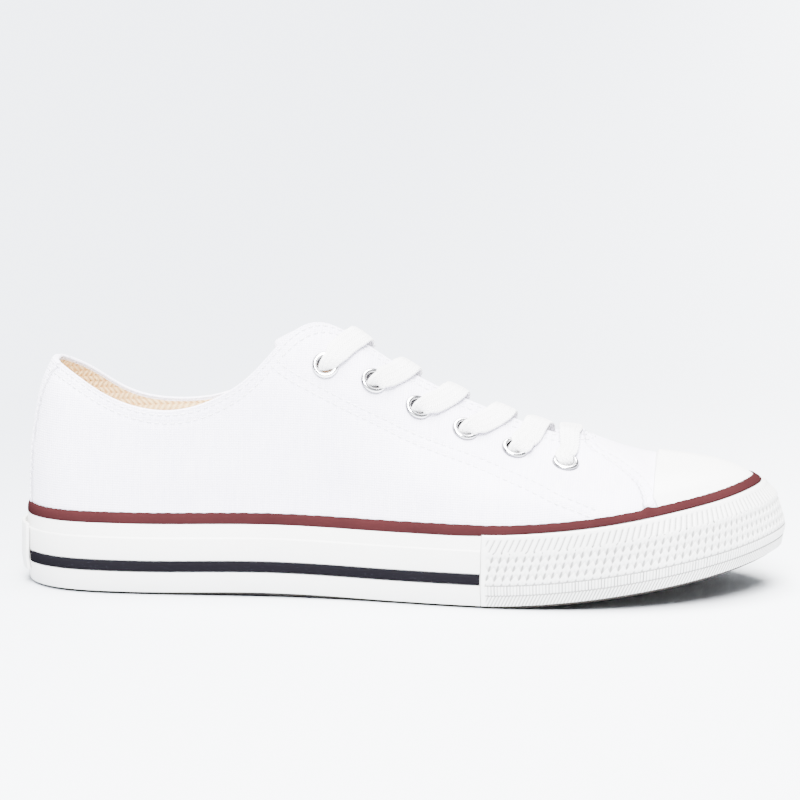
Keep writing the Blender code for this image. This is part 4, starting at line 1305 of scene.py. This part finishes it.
# %% The stripe on both sides
stripe_profile = (
    (-STRIPE_DEPTH + CLEARANCE, STRIPE_BOTTOM),
    (STRIPE_PROUD, STRIPE_BOTTOM),
    (STRIPE_PROUD, STRIPE_TOP),
    (-STRIPE_DEPTH + CLEARANCE, STRIPE_TOP),
)
stripe_back = turn_at_width(PATCH_WIDTH / 2 + 2 * CLEARANCE)
for side_name in ("lateral", "medial"):
    turns = even_turns(200, stripe_back, bumper_turn - CLEARANCE / LENGTH)
    if side_name == "medial":
        turns = math.tau - turns
    name, node = "side_stripe_" + side_name, "stripe_" + side_name
    strip(name, turns, stripe_profile, STRIPE_RUBBER, "charcoal_rubber", node, STRIPE_ROUND)

# %% The heel patch
patch_profile = column(CLEARANCE, PATCH_TOP, PATCH_BOTTOM, 5)
patch_profile += column(PATCH_THICKNESS, PATCH_BOTTOM, PATCH_TOP, 5)
patch_turn = turn_at_width(PATCH_WIDTH / 2)
patch_turns = even_turns(60, -patch_turn, patch_turn)
strip("rubber_heel_patch", patch_turns, patch_profile, RUBBER, "white_rubber", "heel_patch", PATCH_ROUND)


# %% [markdown]
# The piping is folded over in two facets. Where the rear edge of the toe cap runs under it, the
# strip rides up in a small knuckle on each side.
# %% The piping
CAP_KNUCKLE = 95.2 * MM
PIPING_SKIRT = 1.1 * MM
PIPING_COLUMNS = 900


def piping_places(turns):
    """Section of the piping along the wall, with the two small knuckles."""
    low = FOXING_TOP + CLEARANCE
    face = PIPING_PROUD - FOXING_WALL + STRIPE_PROUD
    profile = np.array((
        # out, height, share of the knuckle, or less than 0 for the skirt
        (-FOXING_WALL, low, 0),
        (face - 0.12 * MM, low, -1),
        (face + 0.05 * MM, low + 0.2 * MM, -1),
        (face + 0.1 * MM, low + 0.8 * MM, -0.5),
        (face, low + 1.45 * MM, 0.4),
        (face - 0.12 * MM, low + 1.75 * MM, 0.7),
        (CLEARANCE - FOXING_WALL + 0.2 * MM, low + PIPING_HEIGHT - 0.1 * MM, 1),
        (CLEARANCE - FOXING_WALL, low + PIPING_HEIGHT, 1),
        (-FOXING_WALL, low + PIPING_HEIGHT, 1),
    ))
    rows = []
    for turn in turns:
        forward = wall(turn, 0.0, low)[0]
        knuckle = math.exp(-((forward - CAP_KNUCKLE) / (1.7 * MM)) ** 2)
        wave = 0.07 * MM * math.sin(190 * turn) + 0.05 * MM * math.sin(83 * turn)
        skirt = PIPING_SKIRT * (1 - float(ease(forward, 20 * MM, 60 * MM)))
        above, below = np.clip(profile[:, 2], 0, 1), np.clip(-profile[:, 2], 0, 1)
        heights = profile[:, 1] + above * (0.9 * MM * knuckle + wave) - below * skirt
        outs = profile[:, 0] + above * 0.45 * MM * knuckle
        rows.append(wall([turn] * len(outs), outs, heights))
    return np.array(rows)


piping_shape = drape(piping_places(even_turns(PIPING_COLUMNS)[:-1]), True, True)
finished("maroon_piping", piping_shape, PIPING_RUBBER, "maroon_rubber", "piping")


# %% [markdown]
# ## The moulded toe bumper
# The bumper comes from a mould whose pattern has four bands: a smooth rim, slanting ribs, rows of
# staggered scales and a comb of fine ribs over a textured foot. A displacement texture would blur
# at the band edges. A fine grid takes the pattern as numbers: how deep the mould is at each place.
# %% The pattern of the bumper
BUMPER_PROUD = 0.6 * MM
BUMPER_DEPTH = 0.75 * MM
RIB_PITCH = 2.42 * MM
SCALE_PITCH = 3.05 * MM
SCALE_RISE = 3.3 * MM
SCALE_LEAN = 0.26
COMB_PITCH = 1.2 * MM
RIM_LOW = 26.2 * MM
RIB_LOW = 21.3 * MM
SCALE_LOW = 9.4 * MM
COMB_HIGH = 8.7 * MM
COMB_LOW = 5.2 * MM
BUMPER_COLUMNS = 960
BUMPER_ROWS = 96


def scale_pattern(travel, height, half):
    """Tent-shaped courses that step out at their top, with a short dent between neighbours."""
    lean = -SCALE_LEAN * np.clip(travel / (0.3 * half), -1, 1)
    column = (travel - lean * (height - SCALE_LOW)) / SCALE_PITCH
    apart = np.abs(2 * (column - np.floor(column)) - 1)
    course = (height - SCALE_LOW) / SCALE_RISE + 0.6 * apart
    share = course - np.floor(course)
    dent = np.exp(-((1 - apart) / 0.24) ** 2) * (1 - ease(share, 0.45, 0.9))
    groove = np.exp(-((1 - apart) / 0.12) ** 2)
    return np.clip(0.55 + 0.45 * share - 0.22 * groove - 0.65 * dent, 0, 1)


def bumper_relief(travel, height, half):
    """The pattern from 0, deepest, to 1 at a travel from the toe and a height."""
    slant = -0.5 * np.sign(travel) * (np.abs(travel) / half) ** 0.7
    across = travel - slant * (height - RIB_LOW)
    ribs = np.abs(np.sin(math.pi * across / RIB_PITCH))
    comb = np.abs(np.sin(math.pi * travel / COMB_PITCH)) ** 0.6
    grain = 0.5 + 0.5 * np.sin(math.tau * (travel - 0.5 * height) / (1.3 * MM))
    foot = 0.30 + 0.6 * grain
    relief = foot + (comb - foot) * ease(height, COMB_LOW - 0.15 * MM, COMB_LOW + 0.15 * MM)
    scales = scale_pattern(travel, height, half)
    relief = relief + (scales - relief) * ease(height, COMB_HIGH, COMB_HIGH + 0.3 * MM)
    points = RIB_LOW - 0.7 * MM * ribs
    relief = relief + (0.1 + 0.9 * ribs ** 0.6 - relief) * ease(height, points, points + 0.5 * MM)
    relief = relief + (1 - relief) * ease(height, RIM_LOW - 0.6 * MM, RIM_LOW + 0.3 * MM)
    for edge in (COMB_LOW, COMB_HIGH + 0.3 * MM):
        relief = relief * (1 - 0.75 * np.exp(-((height - edge) / (0.25 * MM)) ** 2))
    return relief


print("deepest place of the pattern", BUMPER_DEPTH / MM, "mm")


# %% The bumper as a fine grid
def make_bumper():
    start = bumper_turn + 2 * CLEARANCE / LENGTH
    turns = even_turns(BUMPER_COLUMNS, start, math.tau - start)
    travel = travel_along(outline(turns))
    travel -= travel[-1] / 2
    heights = np.linspace(FOXING_FOOT + 0.2 * MM, FOXING_TOP - 0.4 * MM, BUMPER_ROWS)
    grid = bumper_relief(travel[:, None], heights[None, :], travel[-1])
    margin = ease(travel[-1] - np.abs(travel), 1.0 * MM, 2.2 * MM)[:, None]
    grid = margin * grid + (1 - margin)
    outs = BUMPER_PROUD + BUMPER_DEPTH * (grid - 1)
    edge = ease(travel[-1] - np.abs(travel), 0.0, 0.5 * MM)[:, None]
    outs = outs - 0.3 * MM * (1 - edge)
    low = [(-FOXING_WALL, 14 * MM), (-FOXING_WALL, FOXING_FOOT), (-0.3 * MM, FOXING_FOOT)]
    high = [(0.35 * MM, FOXING_TOP - 0.1 * MM), (0.1 * MM, FOXING_TOP), (-FOXING_WALL, FOXING_TOP)]
    rows = []
    for turn, out in zip(turns, outs):
        section = low + list(zip(out, heights)) + high
        rows.append(wall([turn] * len(section), *np.array(section).T))
    # How deep each place lies, kept for the rubber to paint the grooves darker: painted shade.
    groove_shade = np.zeros(np.array(rows).shape[:2])
    groove_shade[:, len(low):-len(high)] = 1 - np.clip(grid, 0, 1)
    shape = drape(np.array(rows), False, True, marks={"groove_shade": groove_shade})
    close_ends(shape)
    finished("moulded_toe_bumper", shape, MOULDED_RUBBER, "white_rubber", "toe_bumper")


make_bumper()


# %% [markdown]
# ## The toe cap
# The cap is a thin rubber skin over the front of the canvas. Its rear edge is cut square, and it
# stands a little proud of the cloth there, which gives the fine dark line in the photo.
# %% Cap over the toes
CAP_REAR = 0.75 * MM
CAP_MIDDLE = 0.6 * MM
CAP_TIP = -0.1 * MM
CAP_TUCK = 0.15 * MM
CAP_SKIRT = 1.8 * MM
CAP_COLUMNS = 900
CAP_ROWS = 44
CAP_LEAST = 0.06


def make_cap():
    def reach(turn):
        low, high = 0.0, 1.0
        for _ in range(30):
            middle = (low + high) / 2
            ahead = on_upper(turn, middle)[0] > heel_back + CAP_BACK
            low, high = (middle, high) if ahead else (low, middle)
        return middle

    turns = [turn for turn in even_turns(CAP_COLUMNS) if reach(turn) > CAP_LEAST]
    tops = np.array([reach(turn) for turn in turns])
    lengths = np.array([rib_length(turn) for turn in turns])
    climbs = np.linspace(-CAP_SKIRT, tops * lengths, CAP_ROWS, axis=1)
    spots = np.array([rib(turn).at(climb) for turn, climb in zip(turns, climbs)])
    normals = pointing_out(spots, False)
    from_edge = climbs[:, -1:] - climbs
    swell = np.sqrt(1 - (1 - np.clip(from_edge / (0.5 * MM), 0, 1)) ** 2)
    full = CAP_REAR + (CAP_MIDDLE - CAP_REAR) * ease(from_edge, 0.0, 14 * MM)
    full = full + (CAP_TIP - CAP_MIDDLE) * ease(spots[..., 0], 118 * MM, 136 * MM)
    full = full + (np.minimum(CAP_TUCK, full) - full) * (1 - ease(climbs, 0.0, 5 * MM))
    outer = spots + (full * swell - 0.4 * MM * (1 - swell))[..., None] * normals
    inner = spots - 0.6 * MM * normals
    shape = drape(np.concatenate([outer, inner[:, ::-6]], axis=1), False, True)
    close_ends(shape)
    finished("rubber_toe_cap", shape, CAP_RUBBER, "white_rubber", "toe_cap")


make_cap()


# %% [markdown]
# ## Eyelets
# An eyelet is turned: a rolled ring outside, a barrel through the cloth and a smaller roll inside.
# Spinning half a section round its axis is how the real one is formed, too.
# %% Turned rings
def eyelet_rise(side, number):
    """How far the curved canvas rises above and sinks below an eyelet's centre."""
    matrix = eyelet_matrix(side, number).inverted()
    local = CANVAS_PLACES[:, 2:] @ np.array(matrix.to_3x3()).T + np.array(matrix.translation)
    under = np.linalg.norm(local[..., :2], axis=2) < EYELET_FLANGE / 2
    under &= np.abs(local[..., 2]) < 4 * MM
    return local[under][:, 2].max(), -local[under][:, 2].min()


def make_eyelet(side, number):
    hole, flange = EYELET_HOLE / 2, EYELET_FLANGE / 2
    barrel = hole + EYELET_METAL
    rise, sink = eyelet_rise(side, number)
    face = CLEARANCE + rise
    back = -(CANVAS + 2.5 * CLEARANCE + sink)
    middle, half = (hole + flange) / 2, (flange - hole) / 2
    profile = []
    for angle in np.radians(np.arange(0, 181, 20)):
        profile.append((middle + half * math.cos(angle), face + 0.95 * MM * math.sin(angle)))
    profile += [
        (hole, back),
        (hole + 0.1 * MM, back - EYELET_METAL),
        (barrel + 1.0 * MM, back - 0.8 * EYELET_METAL),
        (barrel + 1.2 * MM, back),
        (barrel, back + 0.1 * MM),
        (barrel, face),
    ]
    shape = bmesh.new()
    loop = [shape.verts.new((radius, 0, lift)) for radius, lift in profile]
    edges = [shape.edges.new((loop[k], loop[(k + 1) % len(loop)])) for k in range(len(loop))]
    bmesh.ops.spin(
        shape,
        geom=loop + edges,
        cent=(0, 0, 0),
        axis=(0, 0, 1),
        angle=math.tau,
        steps=48,
        use_merge=True,
    )
    # Painted shade: the inner edge of the hole and the outer edge of the ring are painted dark.
    rim = shape.verts.layers.float.new("rim")
    for vert in shape.verts:
        radius = math.hypot(vert.co.x, vert.co.y)
        inside = max(0.0, 1 - (radius - hole) / (0.25 * MM)) * (vert.co.z < face + 0.5 * MM)
        vert[rim] = max(inside, float(ease(radius, flange - 0.25 * MM, flange)))
    bmesh.ops.transform(shape, matrix=eyelet_matrix(side, number), verts=shape.verts)
    side_name = "lateral" if side < 0 else "medial"
    name = f"{side_name}_{number + 1}"
    finished("ring_" + name, shape, NICKEL, "eyelet_metal", "eyelet_" + name)


for side in (-1, 1):
    for number in range(EYELETS):
        make_eyelet(side, number)


# %% [markdown]
# ## The lace
# One flat lace goes straight over the lowest pair of eyelets. Each end then goes in through its
# eyelet, back under its own flap, across the tongue and over the other flap into the next eyelet
# up. Stations with a place, a facing and a width describe the way, and a smooth curve joins them.
# %% Stations of the lace
LACE_WIDTH = 9.2 * MM
LACE_THICKNESS = 1.6 * MM
LACE_LOWEST = 0.25
BAR_RUN = (
    # share of the eyelets' inset, mm toward the toe
    (0.66, 2.3),
    (0.34, 4.7),
    (0.05, 7.0),
)
BAR_WIDTHS = (0.76, 0.80, 0.86, 0.95, 1.0, 0.95, 0.86, 0.80, 0.76)
LACE_RUN = (
    # share of the way to the next eyelet, share of its inset, mm above the canvas
    (0.16, 0.05, 1.7),
    (0.30, 0.24, 1.2),
    (0.52, 0.52, 1.2),
    (0.74, 0.78, 1.7),
)


def enter(side, number, facing, stations):
    """Down through an eyelet and back under the flap to the throat's edge."""
    distance, inset = eyelet_distance(number), eyelet_inset(number)
    centre, normal = flap(side, distance, inset)
    away = unit(centre - flap(side, distance, 0.0)[0])
    inward = centre - (CANVAS + 2.2 * MM) * normal
    slant = 0.0 if number == EYELETS - 1 else 3.0 * MM
    coming, above = flap(side, distance + slant, inset - 1.6 * MM, 2.15 * MM)
    stations.append((coming, facing * above, 0.78))
    past = 0.4 * MM if number == EYELETS - 1 else 0.9 * MM
    stations.append((centre + past * away + 1.1 * MM * normal, facing * (normal + away), 0.62))
    stations.append((centre + (past + 0.2 * MM) * away - 0.9 * MM * normal, facing * away, 0.58))
    stations.append((inward - 1.0 * MM * away, facing * (away - normal), 0.62))
    stations.append((inward - 0.5 * inset * away, -facing * normal, 0.75))
    return -facing


def cross_over(side, number, facing, stations):
    """Across the tongue from under one flap to the next eyelet up on the other."""
    low, high = eyelet_distance(number), eyelet_distance(number - 1)
    steeper = LACE_LOWEST if number == EYELETS - 1 else 0.0

    def along(share):
        return low + (share + (1 - share) * steeper) * (high - low)

    start = 0.26 if side < 0 else 0.06
    edge, normal = flap(side, low + start * (high - low), 0.0)
    other, other_normal = flap(-side, along(0.14), 0.0)
    lane = other - edge
    up = unit(normal + other_normal)
    over = 1.7 * MM if side > 0 else 0.1 * MM
    stations.append((edge + 0.05 * lane - 2.4 * MM * up, facing * up, 0.86))
    rise = 0.7 * MM if side < 0 else 0.0
    stations.append((edge + 0.27 * lane + (rise - 0.9 * MM) * up, facing * up, 0.97))
    stations.append((edge + 0.52 * lane + (rise + 0.4 * MM + over) * up, facing * up, 1.0))
    stations.append((edge + 0.80 * lane + (0.9 * MM + 0.8 * over) * up, facing * up, 1.0))
    inset = eyelet_inset(number - 1)
    for share, drop, lift in LACE_RUN:
        place, normal = flap(-side, along(share), drop * inset, lift * MM)
        stations.append((place, facing * normal, 1.0))


print(EYELETS, "pairs of eyelets,", len(LACE_RUN), "stations on each run")


# %% The whole way of the lace
def half_lace(side):
    """From the bar at the lowest pair to the hidden end inside a top eyelet."""
    stations, facing = [], 1
    for number in range(EYELETS - 1, 0, -1):
        facing = enter(side, number, facing, stations)
        cross_over(side, number, facing, stations)
        side = -side
    enter(side, 0, facing, stations)
    return stations


def bar_stations():
    """Straight over the lowest pair, on top of both flaps."""
    distance, inset = eyelet_distance(EYELETS - 1), eyelet_inset(EYELETS - 1)
    runs = {}
    for side in (-1, 1):
        places = [(distance + shift * MM, drop * inset) for drop, shift in BAR_RUN]
        runs[side] = [flap(side, *place, 1.5 * MM) for place in places]
    (near, near_out), (far, far_out) = runs[-1][-1], runs[1][-1]
    up = unit(near_out + far_out)
    level = [(near + share * (far - near) + 0.5 * MM * up, up) for share in (0.2, 0.5, 0.8)]
    stations = runs[-1] + level + runs[1][::-1]
    return [(*station, width) for station, width in zip(stations, BAR_WIDTHS)]


near_half, far_half = half_lace(-1), half_lace(1)
stations = near_half[::-1] + bar_stations() + far_half
print(len(stations), "stations along the lace")


# %% The lace as one strap
LACE_STEP = 0.55 * MM


def make_lace():
    points, facings, widths = (np.array(values) for values in zip(*stations))
    knots = travel_along(points)
    count = int(knots[-1] / LACE_STEP)
    marks = np.linspace(0, knots[-1], count)
    path = Smooth(knots, points).at(marks)
    out = np.stack([np.interp(marks, knots, facings[:, k]) for k in range(3)], axis=1)
    width = np.interp(marks, knots, widths)
    run = np.gradient(path, axis=0)
    across = unit(np.cross(run, out))
    out = unit(np.cross(across, run))
    angles = np.linspace(0, math.tau, 21)[:-1]
    flat_x = np.sign(np.cos(angles)) * np.abs(np.cos(angles)) ** 0.75
    flat_z = np.sign(np.sin(angles)) * np.abs(np.sin(angles)) ** 0.75
    half_width = (LACE_WIDTH / 2 * width)[:, None, None]
    half_thick = (LACE_THICKNESS / 2 * (1 + 0.5 * (1 - width)))[:, None, None]
    places = path[:, None] + half_width * flat_x[None, :, None] * across[:, None]
    places = places + half_thick * flat_z[None, :, None] * out[:, None]
    cloth_x = np.broadcast_to(flat_x * LACE_WIDTH / 2, (count, len(angles)))
    cloth_y = np.broadcast_to(marks[:, None], (count, len(angles)))
    shape = drape(places, False, True, np.stack([cloth_x, cloth_y], axis=-1))
    close_ends(shape)
    nodes = ["lace_bar"] + [f"lace_cross_{number}" for number in range(1, EYELETS)]
    finished("flat_lace", shape, BRAID, "lace_cotton", *nodes, sharp=math.radians(80))
    print("lace", round(knots[-1] / MM), "mm long from end to end")


make_lace()


# %% [markdown]
# ## The outsole
# The tread is seen only from below, and its solid already has the grooves. It keeps its shape and
# takes the tread's rubber. That rubber is near black, so that the thin edge under the foxing reads as
# contact shadow: painted shade.
# %% Rubber on the sole
for thing in list(bpy.context.scene.objects):
    if thing.name.split(".")[0] == "outsole" and thing.type == "MESH":
        thing.data.materials.clear()
        thing.data.materials.append(TREAD_RUBBER)
        print("outsole dressed")


# %% [markdown]
# ## Studio
# The photo is a product picture: a pale floor that fills the frame, and wide soft lights above and
# in front, so that the only strong dark is the contact shadow. Lamps of a real size near the shoe
# would fall off across the floor. Two suns with a wide angle light all of it alike.
# %% Floor and light
def floor_finish():
    """Pale paper: a little cooler and darker far away and towards -X, as painted shade."""
    finish = Finish("studio_paper", (0.76, 0.785, 0.815), 0.9)
    finish.set("Specular IOR Level", 0.1)
    side, depth = finish.axes(finish.place())[:2]
    # Painted shade: the floor darkens far away and towards -X.
    far = depth.between(-0.45, 0.6) * 0.75 - side * 1.3
    finish.tint(far.between(0.0, 1.0), (0.42, 0.445, 0.49))
    return finish.material


floor_shape = bmesh.new()
bmesh.ops.create_grid(floor_shape, x_segments=1, y_segments=1, size=30)
floor = object_of("studio_floor", floor_shape)
floor.data.materials.append(floor_finish())
print("floor laid")


def soft_sun(name, toward, strength, spread, colour):
    """Light from a wide part of the studio's ceiling, the same over the whole floor."""
    lamp = bpy.data.lights.new(name, "SUN")
    lamp.energy = strength
    lamp.angle = math.radians(spread)
    lamp.color = colour
    made = bpy.data.objects.new(name, lamp)
    made.rotation_euler = Vector(toward).to_track_quat("-Z", "Y").to_euler()
    bpy.context.scene.collection.objects.link(made)


soft_sun("ceiling_light", (0.02, -0.04, -1.0), 19.0, 45, (1.0, 0.99, 0.975))
soft_sun("front_light", (-0.02, 0.88, -1.0), 21.5, 30, (0.985, 0.985, 1.0))
print(len(bpy.data.lights), "lights")

# %% Air round the shoe
world = bpy.data.worlds.new("studio")
world.use_nodes = True
world.node_tree.nodes["Background"].inputs["Color"].default_value = (0.92, 0.95, 1.0, 1.0)
world.node_tree.nodes["Background"].inputs["Strength"].default_value = 0.5
bpy.context.scene.world = world
print("world", world.name)

# %% Camera
CAMERA_TARGET = Vector((-0.46, 0.0, 70.31)) * MM
CAMERA_DISTANCE = 1.6
CAMERA_SIDE = math.radians(5)
CAMERA_RISE = math.radians(9)
SENSOR_WIDTH = 36
VIEW_WIDTH = 800 / 2.64756 * MM  # what the picture's width takes in at the shoe
back = Vector((
    math.sin(CAMERA_SIDE) * math.cos(CAMERA_RISE),
    -math.cos(CAMERA_SIDE) * math.cos(CAMERA_RISE),
    math.sin(CAMERA_RISE),
))
lens = bpy.data.cameras.new("product_camera")
lens.lens = SENSOR_WIDTH * CAMERA_DISTANCE / VIEW_WIDTH
lens.sensor_width = SENSOR_WIDTH
camera = bpy.data.objects.new("product_camera", lens)
camera.location = CAMERA_TARGET + back * CAMERA_DISTANCE
camera.rotation_euler = (-back).to_track_quat("-Z", "Y").to_euler()
bpy.context.scene.collection.objects.link(camera)
bpy.context.scene.camera = camera
print("focal length", round(lens.lens, 1), "mm")
